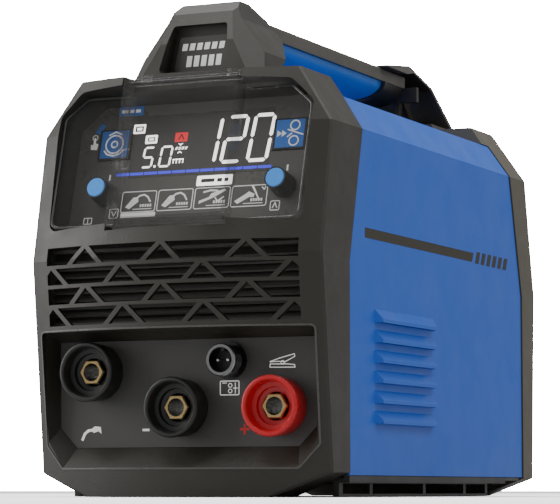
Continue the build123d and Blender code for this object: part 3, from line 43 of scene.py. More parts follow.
class Shader:
    """A node material with a Principled shader and short calls for the nodes this scene uses."""

    def __init__(self, name, color, rough, metal=0.0, **sockets):
        self.material = bpy.data.materials.new(name)
        self.material.use_nodes = True
        self.tree = self.material.node_tree
        self.bsdf = self.tree.nodes["Principled BSDF"]
        self.coords = self.node("ShaderNodeTexCoord").outputs["Object"]
        self.bsdf.inputs["Base Color"].default_value = (*color, 1)
        self.bsdf.inputs["Roughness"].default_value = rough
        self.bsdf.inputs["Metallic"].default_value = metal
        for key, value in sockets.items():
            self.bsdf.inputs[key.replace("_", " ")].default_value = value
        self.normal = None

    def node(self, kind, **values):
        made = self.tree.nodes.new(kind)
        for key, value in values.items():
            setattr(made, key, value)
        return made

    def link(self, a, b):
        self.tree.links.new(a, b)

    def noise(self, scale, detail=3.0, stretch=(1, 1, 1), rough=0.55):
        """Noise in object space, scale to the metre, drawn out by stretch."""
        mapping = self.node("ShaderNodeMapping")
        mapping.inputs["Scale"].default_value = stretch
        self.link(self.coords, mapping.inputs["Vector"])
        made = self.node("ShaderNodeTexNoise")
        made.inputs["Scale"].default_value = scale
        made.inputs["Detail"].default_value = detail
        made.inputs["Roughness"].default_value = rough
        self.link(mapping.outputs["Vector"], made.inputs["Vector"])
        return made.outputs["Fac"]

    def ramp(self, fac, stops):
        """A colour ramp from (place, colour) pairs."""
        made = self.node("ShaderNodeValToRGB")
        ramp = made.color_ramp
        while len(ramp.elements) < len(stops):
            ramp.elements.new(0.5)
        for element, (place, color) in zip(ramp.elements, stops):
            element.position = place
            element.color = (*color, 1)
        self.link(fac, made.inputs["Fac"])
        return made.outputs["Color"]

    def mix(self, fac, a, b):
        """Colour a to colour b by fac; each is a tuple or a socket."""
        made = self.node("ShaderNodeMix", data_type="RGBA")
        self.link(fac, made.inputs["Factor"])
        for value, socket in ((a, made.inputs[MIX_A]), (b, made.inputs[MIX_B])):
            if isinstance(value, tuple):
                socket.default_value = (*value, 1)
            else:
                self.link(value, socket)
        return made.outputs[MIX_RESULT]

    def span(self, fac, low, high, start=0.0, end=1.0):
        """Fac from start to end becomes low to high."""
        made = self.node("ShaderNodeMapRange")
        limits = {"From Min": start, "From Max": end, "To Min": low, "To Max": high}
        for key, value in limits.items():
            made.inputs[key].default_value = value
        self.link(fac, made.inputs["Value"])
        return made.outputs["Result"]

    def behind(self, start, end):
        """0 in front of y = start and 1 behind y = end, in metres."""
        split = self.node("ShaderNodeSeparateXYZ")
        self.link(self.coords, split.inputs["Vector"])
        return self.span(split.outputs["Y"], 0.0, 1.0, start, end)

    def color(self, socket):
        self.link(socket, self.bsdf.inputs["Base Color"])

    def rough(self, socket):
        self.link(socket, self.bsdf.inputs["Roughness"])

    def bump(self, height, distance, strength=1.0):
        """A bump on top of the ones before it; distance is in metres."""
        made = self.node("ShaderNodeBump")
        made.inputs["Distance"].default_value = distance
        made.inputs["Strength"].default_value = strength
        self.link(height, made.inputs["Height"])
        if self.normal is not None:
            self.link(self.normal, made.inputs["Normal"])
        self.normal = made.outputs["Normal"]
        self.link(self.normal, self.bsdf.inputs["Normal"])


def shade(color, factor):
    """The colour made lighter or darker."""
    return tuple(min(1.0, c * factor) for c in color)


def moulded(name, color, rough=0.42, grain=0.00007, scale=1500, uneven=0.16, **sockets):
    """Moulded plastic: sparked grain, faint flow clouds and handling marks in the gloss."""
    s = Shader(name, color, rough, **sockets)
    clouds = s.noise(22, 4)
    s.color(s.mix(clouds, shade(color, 1 - uneven), shade(color, 1 + uneven)))
    s.rough(s.span(s.noise(60, 5), rough - 0.07, rough + 0.09, 0.3, 0.7))
    s.bump(s.noise(scale, 2), grain)
    s.bump(s.noise(12, 2), 0.0006, 0.12)
    return s.material


def painted(name, color, rough=0.33, peel=0.00005, **sockets):
    """Powder-coated sheet: fine orange peel, a little dust in the tone."""
    s = Shader(name, color, rough, **sockets)
    s.color(s.mix(s.noise(9, 5), shade(color, 0.96), shade(color, 1.04)))
    s.rough(s.span(s.noise(45, 4), rough - 0.05, rough + 0.08, 0.3, 0.7))
    s.bump(s.noise(700, 3), peel)
    s.bump(s.noise(6, 2), 0.0009, 0.06)
    return s.material


def metal(name, color, rough=0.28, stretch=(1, 1, 1), scale=600, depth=0.00002, tarnish=0.2):
    """Bare metal with tool marks along one direction and uneven tarnish."""
    s = Shader(name, color, rough, 1.0)
    s.color(s.mix(s.noise(40, 4), shade(color, 1 - tarnish), shade(color, 1.08)))
    s.rough(s.span(s.noise(scale, 3, stretch), rough - 0.08, rough + 0.14, 0.25, 0.75))
    s.bump(s.noise(scale, 2, stretch), depth)
    return s.material


def glowing(name, color, strength, rough=0.35):
    """A lit segment behind the window, a little uneven in brightness."""
    s = Shader(name, color, rough)
    light = s.mix(s.noise(260, 2), shade(color, 0.86), color)
    s.color(light)
    s.link(light, s.bsdf.inputs["Emission Color"])
    s.bsdf.inputs["Emission Strength"].default_value = strength
    return s.material


def ink(name, color, rough=0.5, painted_glow=0.0):
    """Screen-printed ink: slightly thick, with soft edges in the gloss. A glow above zero is a
    painted glow: the print shines though no lamp lights it.
    """
    s = Shader(name, color, rough)
    tone = s.mix(s.noise(420, 3), shade(color, 0.9), shade(color, 1.04))
    s.color(tone)
    # painted glow: emission that makes unlit print shine by itself
    if painted_glow:
        s.link(tone, s.bsdf.inputs["Emission Color"])
        s.bsdf.inputs["Emission Strength"].default_value = painted_glow
    s.rough(s.span(s.noise(900, 2), rough - 0.08, rough + 0.1))
    s.bump(s.noise(1800, 2), 0.00001)
    return s.material


def socket_brass(name):
    """Turned brass at the mouth, with the dark plated contact springs deeper in."""
    s = Shader(name, (0.6, 0.42, 0.18), 0.26, 1.0)
    deep = s.behind(-0.1290, -0.1275)
    clouds = s.mix(s.noise(60, 4), (0.46, 0.33, 0.15), (0.62, 0.46, 0.22))
    s.color(s.mix(deep, clouds, (0.55, 0.55, 0.54)))
    s.rough(s.span(s.noise(700, 3, (1, 0.1, 1)), 0.18, 0.38, 0.3, 0.7))
    s.bump(s.noise(700, 2, (1, 0.1, 1)), 0.00002)
    return s.material


def chrome_with_painted_glint(name):
    """Dark plated barrel; the bright band at its front edge is a painted highlight, standing in for
    the glint on the rim.
    """
    s = Shader(name, (0.2, 0.2, 0.2), 0.16, 1.0)
    deep = s.behind(-0.1316, -0.1313)
    # The front 0.3 mm of the barrel is painted light grey: a painted highlight on its rim.
    s.color(s.mix(deep, (0.32, 0.32, 0.33), (0.055, 0.055, 0.056)))
    s.rough(s.span(s.noise(300, 3), 0.12, 0.26, 0.3, 0.7))
    s.bump(s.noise(900, 2), 0.00001)
    return s.material


def clear_plastic(name):
    """Clear moulded cover: thin face, denser where it is seen edge-on, with faint wipe marks."""
    s = Shader(name, (0.15, 0.149, 0.142), 0.05, Specular_IOR_Level=1.0)
    weight = s.node("ShaderNodeLayerWeight")
    weight.inputs["Blend"].default_value = 0.35
    s.link(s.span(weight.outputs["Facing"], 0.07, 0.8, 0.25, 0.9), s.bsdf.inputs["Alpha"])
    s.rough(s.span(s.noise(35, 5), 0.03, 0.12, 0.3, 0.75))
    s.bump(s.noise(10, 2), 0.0003, 0.03)
    return s.material


def window_glass(name):
    """Dark display window with a cool sheen."""
    s = Shader(name, (0.022, 0.0215, 0.021), 0.16)
    s.color(s.mix(s.noise(30, 3), (0.09, 0.087, 0.08), (0.105, 0.101, 0.093)))
    s.rough(s.span(s.noise(50, 5), 0.12, 0.24, 0.3, 0.75))
    s.bump(s.noise(14, 2), 0.0003, 0.04)
    return s.material


def circuit(name):
    """Solder mask with copper runs and holes showing through."""
    s = Shader(name, (0.01, 0.11, 0.045), 0.3)
    brick = s.node("ShaderNodeTexBrick")
    brick.inputs["Scale"].default_value = 160
    brick.inputs["Mortar Size"].default_value = 0.03
    brick.inputs["Color1"].default_value = (0.008, 0.09, 0.04, 1)
    brick.inputs["Color2"].default_value = (0.012, 0.13, 0.05, 1)
    brick.inputs["Mortar"].default_value = (0.05, 0.2, 0.09, 1)
    s.link(s.coords, brick.inputs["Vector"])
    s.color(brick.outputs["Color"])
    s.bump(brick.outputs["Fac"], 0.00005)
    return s.material


def wound(name, color, pitch, axis="X"):
    """Layers of round wire laid side by side, with painted shade darkening the grooves between the
    turns.
    """
    s = Shader(name, color, 0.28, 1.0)
    wave = s.node("ShaderNodeTexWave", bands_direction=axis)
    wave.inputs["Scale"].default_value = 0.5 / pitch
    wave.inputs["Distortion"].default_value = 0.4
    wave.inputs["Detail Scale"].default_value = 0.5
    s.link(s.coords, wave.inputs["Vector"])
    # The colour falls to a third in the grooves between turns: painted shade.
    s.color(s.mix(wave.outputs["Fac"], shade(color, 0.35), color))
    s.bump(wave.outputs["Fac"], 0.0004)
    return s.material


def printed_sleeve(name):
    """Shrink sleeve of a capacitor with a pale stripe."""
    s = Shader(name, (0.01, 0.012, 0.03), 0.25)
    wave = s.node("ShaderNodeTexWave", bands_direction="X")
    wave.inputs["Scale"].default_value = 9
    s.link(s.coords, wave.inputs["Vector"])
    stops = ((0.0, (0.01, 0.012, 0.03)), (0.93, (0.012, 0.014, 0.035)), (0.96, (0.4, 0.4, 0.42)))
    s.color(s.ramp(wave.outputs["Fac"], stops))
    return s.material


BEZEL = (0.0285, 0.0252, 0.0192)
BLUE = (0.0115, 0.110, 0.56)
WHITE = (0.88, 0.88, 0.86)
case_plastic = moulded("case_plastic", BEZEL, rough=0.43, grain=0.00009, scale=1300)
tray_plastic = moulded(
    "tray_plastic", (0.056, 0.0545, 0.051), rough=0.46, grain=0.00005, scale=1700, uneven=0.1)
# The louvres behind the grille are lighter than the case: painted light, standing in for the light
# that reaches them through the grille.
vent_plastic = moulded("vent_plastic", (0.095, 0.092, 0.084), rough=0.5, grain=0.00005)
# The tray bead is a raised rim, but its tone, three times lighter than the bezel, is a painted
# highlight for the bright line along its edge.
rim_plastic = moulded(
    "rim_plastic", (0.085, 0.082, 0.075), rough=0.26, grain=0.00002, uneven=0.1)
blue_paint = painted("blue_paint", BLUE, rough=0.36, Specular_IOR_Level=0.35)
grip_plastic = moulded("grip_plastic", (0.016, 0.20, 0.53), rough=0.36, grain=0.00005, scale=1600)
# The blue knob caps have a painted glow: a faint emission makes them shine though they are no lamp.
cap_plastic = moulded(
    "cap_plastic", (0.05, 0.36, 1.0), rough=0.3, grain=0.00002, scale=900, uneven=0.06,
    Emission_Color=(0.06, 0.34, 1.0, 1), Emission_Strength=0.3)
black_steel = painted("black_steel", (0.022, 0.021, 0.02), rough=0.42, peel=0.00008)
panel_plastic = moulded(
    "panel_plastic", (0.12, 0.115, 0.104), rough=0.3, grain=0.000006, scale=1900, uneven=0.08)
# The rear bezel and rail take a copy of the case plastic made about three times lighter and warmer:
# painted light for the stronger light that falls on the rear.
rear_plastic = moulded("rear_plastic", (0.088, 0.078, 0.057), rough=0.45, scale=1300)
key_plastic = moulded("key_plastic", (0.02, 0.02, 0.021), rough=0.3, grain=0.00002, uneven=0.08)
knob_plastic = moulded("knob_plastic", (0.02, 0.0195, 0.019), rough=0.48, grain=0.00006)
socket_plastic = moulded(
    "socket_plastic", (0.014, 0.0135, 0.013), rough=0.36, grain=0.00004, scale=1400)
red_socket = moulded(
    "red_socket_plastic", (0.54, 0.012, 0.018), rough=0.3, grain=0.00003, scale=1400, uneven=0.1)
black_plastic = moulded("black_plastic", (0.02, 0.02, 0.02), rough=0.5)
spool_plastic = moulded("spool_plastic", (0.085, 0.085, 0.09), rough=0.4, grain=0.00005, scale=1200)
red_plastic = moulded(
    "red_plastic", (0.45, 0.02, 0.015), rough=0.35, grain=0.00003, scale=1200, uneven=0.08)
arm_paint = painted("arm_paint", (0.42, 0.05, 0.02), rough=0.4)
motor_paint = painted("motor_paint", (0.08, 0.08, 0.085), rough=0.42)
brass = metal("brass", (0.78, 0.58, 0.27), rough=0.24, stretch=(1, 0.08, 1), scale=900)
steel = metal("bright_steel", (0.58, 0.58, 0.59), rough=0.3)
chrome = chrome_with_painted_glint("chrome")
insert_brass = socket_brass("insert_brass")
aluminium = metal(
    "aluminium", (0.72, 0.73, 0.74), rough=0.36, stretch=(1, 0.03, 1), scale=500, depth=0.00003)
# The white print has a painted glow: it shines by itself though nothing lights it from behind.
white_ink = ink("white_ink", WHITE, painted_glow=0.25)
red_ink = ink("red_ink", (0.62, 0.02, 0.02))
blue_ink = ink("blue_ink", (0.035, 0.22, 0.78), rough=0.35)
dark_ink = ink("dark_ink", (0.032, 0.026, 0.016), rough=0.55)
lit_white = glowing("lit_white", WHITE, strength=2.4)
lit_red = glowing("lit_red", (0.76, 0.03, 0.04), strength=0.8)
lit_blue = glowing("lit_blue", (0.05, 0.05, 0.8), strength=1.0)
clear_cover = clear_plastic("clear_cover")
# The bead on the clear cover is a raised rim, but its dark, nearly opaque tone is painted shade for
# the dark line along the edge of the clear plastic.
cover_rim = moulded(
    "cover_rim", (0.055, 0.054, 0.05), rough=0.1, grain=0.000002, scale=900, uneven=0.05,
    Specular_IOR_Level=1.0, Alpha=0.8)
display_glass = window_glass("display_glass")
board_mask = circuit("circuit_board")
copper_wire = wound("copper_wire", (0.72, 0.33, 0.17), pitch=0.0009)
winding = wound("transformer_copper", (0.66, 0.28, 0.12), pitch=0.0016, axis="Z")
sleeve = printed_sleeve("capacitor_sleeve")
ferrite = moulded("ferrite", (0.03, 0.03, 0.032), rough=0.6, grain=0.0001, scale=900)

finishes = {
    case_plastic: ("front_bezel", "handle_arch", "handle_bracket"),
    rear_plastic: ("rear_bezel", "handle_rail"),
    tray_plastic: ("connector_panel",),
    vent_plastic: ("vent_louvres",),
    blue_paint: ("wrap_cover", "side_door"),
    grip_plastic: ("handle_grip",),
    cap_plastic: ("left_knob_cap", "right_knob_cap"),
    black_steel: ("base_tray", "rear_panel", "divider_plate", "cover_hinge_pin"),
    clear_cover: ("display_cover",),
    panel_plastic: ("display_panel",),
    display_glass: ("display_lens", "nameplate"),
    key_plastic: ("left_key", "right_key"),
    knob_plastic: ("left_knob", "right_knob", "tension_knob"),
    board_mask: ("display_board", "main_board"),
    socket_plastic: ("torch_socket", "negative_socket", "control_core"),
    red_socket: ("positive_socket",),
    insert_brass: ("socket_inserts",),
    brass: ("gas_inlet", "wire_guides"),
    steel: ("encoders", "control_pins", "socket_nuts", "door_hinge_pin", "panel_screws",
            "drive_roll", "idler_roll", "tension_spring"),
    chrome: ("control_socket",),
    black_plastic: ("fan_housing", "fan_rotor", "switch_frame", "cable_gland", "door_latch",
                    "spool_hub"),
    spool_plastic: ("wire_spool",),
    red_plastic: ("switch_rocker",),
    aluminium: ("heat_sinks", "feeder_housing"),
    sleeve: ("filter_capacitors",),
    ferrite: ("transformer_core",),
    winding: ("transformer_winding",),
    copper_wire: ("wire_pack",),
    motor_paint: ("feed_motor",),
    arm_paint: ("pressure_arm",),
}
for finish, names in finishes.items():
    for name in names:
        for slot in nodes[name].material_slots:
            slot.material = finish


# ---------------------------------------------------------------- softened edges
def soften(piece, width, angle=30, harden=False):
    """Round the edges sharper than angle, in degrees, by width in millimetres."""
    bevel = piece.modifiers.new("edge_round", "BEVEL")
    bevel.width = width * MM
    bevel.segments = 2
    bevel.limit_method = "ANGLE"
    bevel.angle_limit = math.radians(angle)
    bevel.harden_normals = harden


edge_rounds = {
    "front_bezel": 0.5, "rear_bezel": 0.6, "handle_arch": 0.9, "handle_bracket": 0.5,
    "handle_rail": 0.4, "wrap_cover": 0.25, "side_door": 0.2, "base_tray": 0.2, "rear_panel": 0.2,
    "display_panel": 0.2, "display_cover": 0.45, "switch_frame": 0.3, "door_latch": 0.15,
    "connector_panel": 0.2, "cable_gland": 0.3,
}
for name, width in edge_rounds.items():
    soften(nodes[name], width, angle=28, harden=True)


# ---------------------------------------------------------------- flat drawing, in millimetres
# A drawing is a list of shapes, and a shape is a list of corner points.
def rect(x0, y0, x1, y1):
    """A drawing of one rectangle."""
    return [[(x0, y0), (x1, y0), (x1, y1), (x0, y1)]]


def rounded(x0, y0, x1, y1, radius, steps=5):
    """Corner points of a rounded rectangle, counter-clockwise."""
    points = []
    for cx, cy, start in ((x1 - radius, y0 + radius, -90), (x1 - radius, y1 - radius, 0),
                          (x0 + radius, y1 - radius, 90), (x0 + radius, y0 + radius, 180)):
        for i in range(steps + 1):
            turn = math.radians(start + 90 * i / steps)
            points.append((cx + radius * math.cos(turn), cy + radius * math.sin(turn)))
    return points


def band(outer, inner):
    """Quads between two closed outlines with as many points."""
    steps = [(i, (i + 1) % len(outer)) for i in range(len(outer))]
    return [[outer[i], outer[j], inner[j], inner[i]] for i, j in steps]


def outline_box(x0, y0, x1, y1, radius, line=0.45):
    """The outline of a rounded box, line wide."""
    inner_radius = max(radius - line, 0.05)
    inner = rounded(x0 + line, y0 + line, x1 - line, y1 - line, inner_radius)
    return band(rounded(x0, y0, x1, y1, radius), inner)


def circle(x, y, radius, steps=28):
    """One round shape."""
    turns = [2 * math.pi * i / steps for i in range(steps)]
    return [(x + radius * math.cos(turn), y + radius * math.sin(turn)) for turn in turns]


def ring(x, y, radius, line):
    """A circle drawn with a line of this width inside its radius."""
    return band(circle(x, y, radius), circle(x, y, radius - line))


def stroke(points, line):
    """A line of even width through points, one quad to a run with a round dot on each bend."""
    shapes = []
    for (ax, ay), (bx, by) in zip(points, points[1:]):
        length = math.hypot(bx - ax, by - ay)
        nx, ny = -(by - ay) / length * line / 2, (bx - ax) / length * line / 2
        shapes.append(
            [(ax + nx, ay + ny), (ax - nx, ay - ny), (bx - nx, by - ny), (bx + nx, by + ny)])
    return shapes + [circle(x, y, line / 2, 10) for x, y in points[1:-1]]


# The lit segments of each figure, lettered clockwise from the top, with g in the middle
SEGMENTS = {"0": "abcdef", "1": "bc", "2": "abged", "5": "afgcd"}


def digit(number, x, y, width, height, line, slant=0.09):
    """One seven-segment figure with mitred, slightly parted segments."""
    gap = line * 0.2
    half = line / 2
    mid = y + height / 2
    left, right, low, high = x + half, x + width - half, y + half, y + height - half

    def bar(ax, ay, bx, by):
        if ay == by:
            return [(ax + gap, ay), (ax + half + gap, ay + half), (bx - half - gap, by + half),
                    (bx - gap, by), (bx - half - gap, by - half), (ax + half + gap, ay - half)]
        return [(ax, ay + gap), (ax + half, ay + half + gap), (bx + half, by - half - gap),
                (bx, by - gap), (bx - half, by - half - gap), (ax - half, ay + half + gap)]

    bars = {
        "a": (left, high, right, high), "g": (left, mid, right, mid), "d": (left, low, right, low),
        "f": (left, mid, left, high), "b": (right, mid, right, high),
        "e": (left, low, left, mid), "c": (right, low, right, mid),
    }
    shapes = [bar(*bars[key]) for key in SEGMENTS[number]]
    return [[(px + (py - y) * slant, py) for px, py in shape] for shape in shapes]


# ---------------------------------------------------------------- the surfaces that carry drawings
# Each function takes a drawing point (u, v) and a height h above the surface, in millimetres.
LEAN = math.radians(15.5)
COVER_FOOT_Y = -138
COVER_FOOT_Z = 125
PANEL_DEPTH = 18
KEY_HEIGHT = 0.9
TRAY_Y = -122.5
PLATE_Y = -105.3
SIDE_X = 74.4
BOW_AXIS_Y = 57.5
BOW_FOOT_RADIUS = 196
BOW_GROWTH = 12 / 110


def on_panel(u, v, h):
    """Across the display panel, up its slope, and out from it."""
    depth = PANEL_DEPTH - h
    return Vector((u, COVER_FOOT_Y + v * math.sin(LEAN) + depth * math.cos(LEAN),
                   COVER_FOOT_Z + v * math.cos(LEAN) - depth * math.sin(LEAN))) * MM


def on_cover(u, v, h):
    """Out from the face of the clear cover, which lies parallel to the panel."""
    return on_panel(u, v, h + PANEL_DEPTH)


def on_key(u, v, h):
    """Out from the two keys, which stand on the panel."""
    return on_panel(u, v, h + KEY_HEIGHT)


def on_tray(u, v, h):
    """On the flat floor of the socket tray."""
    return Vector((u, TRAY_Y - h, v)) * MM


def on_front(u, v, h):
    """On the bowed face of the front bezel, below its crease."""
    radius = BOW_FOOT_RADIUS + BOW_GROWTH * v + h
    return Vector((u, BOW_AXIS_Y - math.sqrt(radius * radius - u * u), v)) * MM


def on_plate(u, v, h):
    """On the name plate in the arch of the handle."""
    return Vector((u, PLATE_Y - h, v)) * MM


def on_side(u, v, h):
    """On the right side of the painted cover; u runs from front to back."""
    return Vector((SIDE_X + h, u, v)) * MM


# Corners closer than this, in metres, are welded.
WELD = 0.000001
# A mark on top of a tag or a label, in millimetres
PRINT_LIFT = 0.08
PRINT_THICK = 0.03


def relief(name, place, shapes, finish, body, thick=0.06, lift=0.01):
    """Printed or lit marks: every flat shape becomes a thin slab standing just off its surface.

    Shapes that share an edge are welded, and the walls between them go.
    """
    mesh = bmesh.new()
    for shape in shapes:
        top = [mesh.verts.new(place(u, v, lift + thick)) for u, v in shape]
        foot = [mesh.verts.new(place(u, v, lift)) for u, v in shape]
        mesh.faces.new(top)
        mesh.faces.new(list(reversed(foot)))
        for i in range(len(top)):
            j = (i + 1) % len(top)
            mesh.faces.new((top[j], top[i], foot[i], foot[j]))
    bmesh.ops.remove_doubles(mesh, verts=mesh.verts, dist=WELD)
    walls = [face for face in mesh.faces if all(len(edge.link_faces) > 2 for edge in face.edges)]
    bmesh.ops.delete(mesh, geom=walls, context="FACES_ONLY")
    bmesh.ops.recalc_face_normals(mesh, faces=mesh.faces)
    data = bpy.data.meshes.new(name)
    mesh.to_mesh(data)
    mesh.free()
    piece = bpy.data.objects.new(name, data)
    bpy.context.scene.collection.objects.link(piece)
    data.materials.append(finish)
    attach(piece, body)
    return piece


# ---------------------------------------------------------------- display: lit marks
relief("big_digits", on_panel,
       digit("1", -2.0, 36.6, 10.6, 24.6, 1.75) + digit("2", 10.6, 36.6, 11.4, 24.6, 1.75) +
       digit("0", 24.4, 36.6, 11.4, 24.6, 1.75), lit_white, "chassis")
relief("small_digits", on_panel,
       digit("5", -31.0, 36.6, 6.0, 11.0, 1.0) + [circle(-23.4, 37.3, 0.65, 12)] +
       digit("0", -21.8, 36.6, 6.4, 11.0, 1.0), lit_white, "chassis")

# a piece of wire between two arrow heads, over a comb of generic strokes
WIRE_PITCH = 1.7
wire_marks = []
for i in range(4):
    x = -13.6 + WIRE_PITCH * i
    wire_marks.append([(x, 45.2), (x + 1.0, 45.2), (x + 1.6, 46.6), (x + 0.6, 46.6)])
wire_marks += stroke([(-12.0, 48.4), (-10.9, 47.6), (-9.8, 48.4)], 0.5)
wire_marks += stroke([(-12.0, 43.4), (-10.9, 44.2), (-9.8, 43.4)], 0.5)
for i in range(4):
    x = -14.0 + WIRE_PITCH * i
    wire_marks += rect(x, 38.2, x + 0.6, 40.4)
wire_marks += rect(-14.0, 40.0, -8.3, 40.5)
relief("wire_size_mark", on_panel, wire_marks, lit_white, "chassis")

relief("lit_tags", on_panel,
       band(rounded(-37.4, 54.8, -31.0, 59.6, 0.5), rounded(-36.4, 55.8, -32.0, 58.6, 0.3)) +
       rect(-35.5, 56.5, -32.9, 57.9) +
       band(rounded(-30.2, 49.2, -23.8, 53.6, 0.5), rounded(-29.0, 50.3, -25.0, 52.5, 0.3)) +
       rect(-28.3, 50.9, -25.7, 51.9), lit_white, "chassis")
relief("mode_tag", on_panel, [rounded(0.3, 25.9, 18.9, 31.0, 0.5)], lit_white, "chassis")
relief("mode_tag_mark", on_panel,
       rect(2.6, 27.6, 9.6, 29.4) + rect(11.0, 27.6, 13.6, 29.4) + rect(14.8, 27.6, 16.8, 29.4),
       dark_ink, "chassis", PRINT_THICK, PRINT_LIFT)
relief("fault_tag", on_panel, [rounded(-14.4, 49.2, -7.6, 54.0, 0.5)], lit_red, "chassis")
relief("fault_tag_mark", on_panel, stroke([(-12.4, 50.4), (-11.0, 53.0), (-9.6, 50.4)], 0.5),
       dark_ink, "chassis", PRINT_THICK, PRINT_LIFT)

LEVEL_PITCH = 7.48
level = []
for i in range(11):
    level += rect(-43.5 + LEVEL_PITCH * i, 33.2, -36.5 + LEVEL_PITCH * i, 34.6)
relief("level_bar", on_panel, level, lit_blue, "chassis")

# ---------------------------------------------------------------- display: printed marks
relief("corner_badge", on_panel, [rounded(-46.6, 64.4, -33.4, 69.2, 0.4)], blue_ink, "chassis")
relief("corner_badge_mark", on_panel,
       rect(-45.2, 66.0, -41.8, 67.6) + rect(-40.8, 66.0, -38.6, 67.6) +
       rect(-37.6, 66.0, -35.0, 67.6), white_ink, "chassis", PRINT_THICK, PRINT_LIFT)

# welding process pictures, drawn from the lower left corner of their boxes
torch = [[(2.4, 2.6), (4.6, 1.6), (9.2, 5.2), (8.6, 7.6), (6.2, 7.4)]]
torch += stroke([(7.6, 6.6), (9.6, 8.2), (12.0, 8.6), (14.0, 7.4), (15.6, 4.8)], 0.9)
clamp = [[(2.6, 2.4), (9.4, 5.0), (16.2, 8.6), (15.6, 9.4), (8.8, 7.4), (7.6, 5.6), (2.8, 4.0)]]
clamp += stroke([(4.4, 8.2), (8.4, 9.0), (12.2, 8.6)], 0.9)
clamp += stroke([(10.8, 5.4), (12.4, 3.4), (15.6, 5.6)], 0.7)
gun = [[(1.8, 2.8), (3.6, 1.4), (9.4, 4.6), (11.6, 4.4), (12.0, 6.0), (9.0, 7.4), (7.4, 6.2)]]
gun += [[(9.8, 10.4), (11.0, 10.6), (15.0, 3.0), (14.4, 2.8)]]
gun += stroke([(15.4, 9.4), (16.8, 8.0), (17.4, 9.6)], 0.5)
workpiece = rect(6.6, 1.2, 16.6, 1.6)
for i in range(5):
    workpiece += rect(10.2 + 1.3 * i, 2.4, 11.1 + 1.3 * i, 3.8)
MODE_WIDTH = 18.6
MODE_LOW = 14.2
MODE_HIGH = 25.0
marks = []
for left, picture in ((-38.6, torch), (-19.3, torch), (0.1, clamp), (19.4, gun)):
    marks += outline_box(left, MODE_LOW, left + MODE_WIDTH, MODE_HIGH, 1.2)
    marks += [[(left + u, 14.4 + v) for u, v in shape] for shape in picture + workpiece]
marks += rect(-38.2, 11.7, -19.6, 14.0)
marks += outline_box(-44.4, 11.6, -39.4, 16.6, 0.8)
marks += stroke([(-43.2, 15.4), (-41.9, 12.9), (-40.6, 15.4)], 0.55)
marks += outline_box(40.0, 11.6, 45.0, 16.6, 0.8)
marks += stroke([(41.3, 12.8), (42.5, 15.5), (43.7, 12.8)], 0.55)
# a hand that points up with its ring, and a small box
marks += [[(-59.6, 48.0), (-56.2, 47.6), (-55.8, 50.6), (-57.3, 51.2), (-57.5, 54.0), (-58.4, 54.0),
           (-58.6, 50.2), (-59.8, 50.6)]]
marks += ring(-57.9, 54.0, 1.5, 0.35)
marks += outline_box(-57.8, 9.2, -53.2, 12.6, 0.5, 0.4)
marks += rect(-55.7, 9.6, -55.3, 12.2)
relief("panel_marks", on_panel, marks, white_ink, "chassis")
badge = [(-58.2, 56.6), (-55.6, 55.6), (-53.0, 60.2), (-55.2, 61.4)]
relief("side_badge", on_panel, [badge], blue_ink, "chassis")

# ---------------------------------------------------------------- knob pointers and key labels
KNOB_X = 46.7
KEY_X = 46.3
KEY_HALF = 7.3
for side, hand in ((-1, "left"), (1, "right")):
    x = side * KNOB_X
    pointer = rect(x - 0.45, 31.3, x + 0.45, 34.2)
    relief(hand + "_knob_mark", on_panel, pointer, white_ink, "chassis")
    x = side * KEY_X
    label = rounded(x - KEY_HALF, 42.6, x + KEY_HALF, 56.6, 0.4)
    relief(hand + "_key_label", on_key, [label], blue_ink, hand + "_key")
spool_icon = ring(-46.3, 49.6, 5.0, 0.8) + ring(-46.3, 49.6, 2.0, 0.8)
spool_icon += stroke(
    [(-51.6, 46.6), (-49.8, 44.6), (-46.3, 43.6), (-42.8, 44.6), (-41.0, 46.6)], 0.8)
spool_icon += stroke([(-50.0, 54.4), (-46.3, 56.0), (-42.6, 54.4)], 0.7)
relief("left_key_icon", on_key, spool_icon, white_ink, "left_key", PRINT_THICK, PRINT_LIFT)
feed_icon = ring(48.6, 53.6, 2.7, 0.7) + ring(48.6, 45.8, 2.7, 0.7)
feed_icon += stroke([(45.0, 51.6), (53.2, 48.6)], 0.7) + stroke([(45.0, 47.8), (47.4, 49.6)], 0.7)
for x in (39.8, 42.2):
    feed_icon += [[(x, 48.0), (x, 51.4), (x + 2.4, 49.7)]]
relief("right_key_icon", on_key, feed_icon, white_ink, "right_key", PRINT_THICK, PRINT_LIFT)


# ---------------------------------------------------------------- bead round the clear cover
def soft_corners(points, radius, steps=5):
    """A closed outline with each corner turned on an arc."""
    made = []
    for i, corner in enumerate(points):
        here = Vector(corner)
        back = (Vector(points[i - 1]) - here).normalized()
        ahead = (Vector(points[(i + 1) % len(points)]) - here).normalized()
        reach = radius / math.tan(back.angle(ahead) / 2)
        centre = here + (back + ahead).normalized() * radius / math.sin(back.angle(ahead) / 2)
        start, end = here + back * reach - centre, here + ahead * reach - centre
        sweep = start.angle_signed(end)
        for j in range(steps + 1):
            turn = -sweep * j / steps
            made.append((centre.x + start.x * math.cos(turn) - start.y * math.sin(turn),
                         centre.y + start.x * math.sin(turn) + start.y * math.cos(turn)))
    return made


def strip(pairs):
    """Quads between neighbouring pairs of an outer and an inner point."""
    return [[a[0], b[0], b[1], a[1]] for a, b in zip(pairs, pairs[1:])]


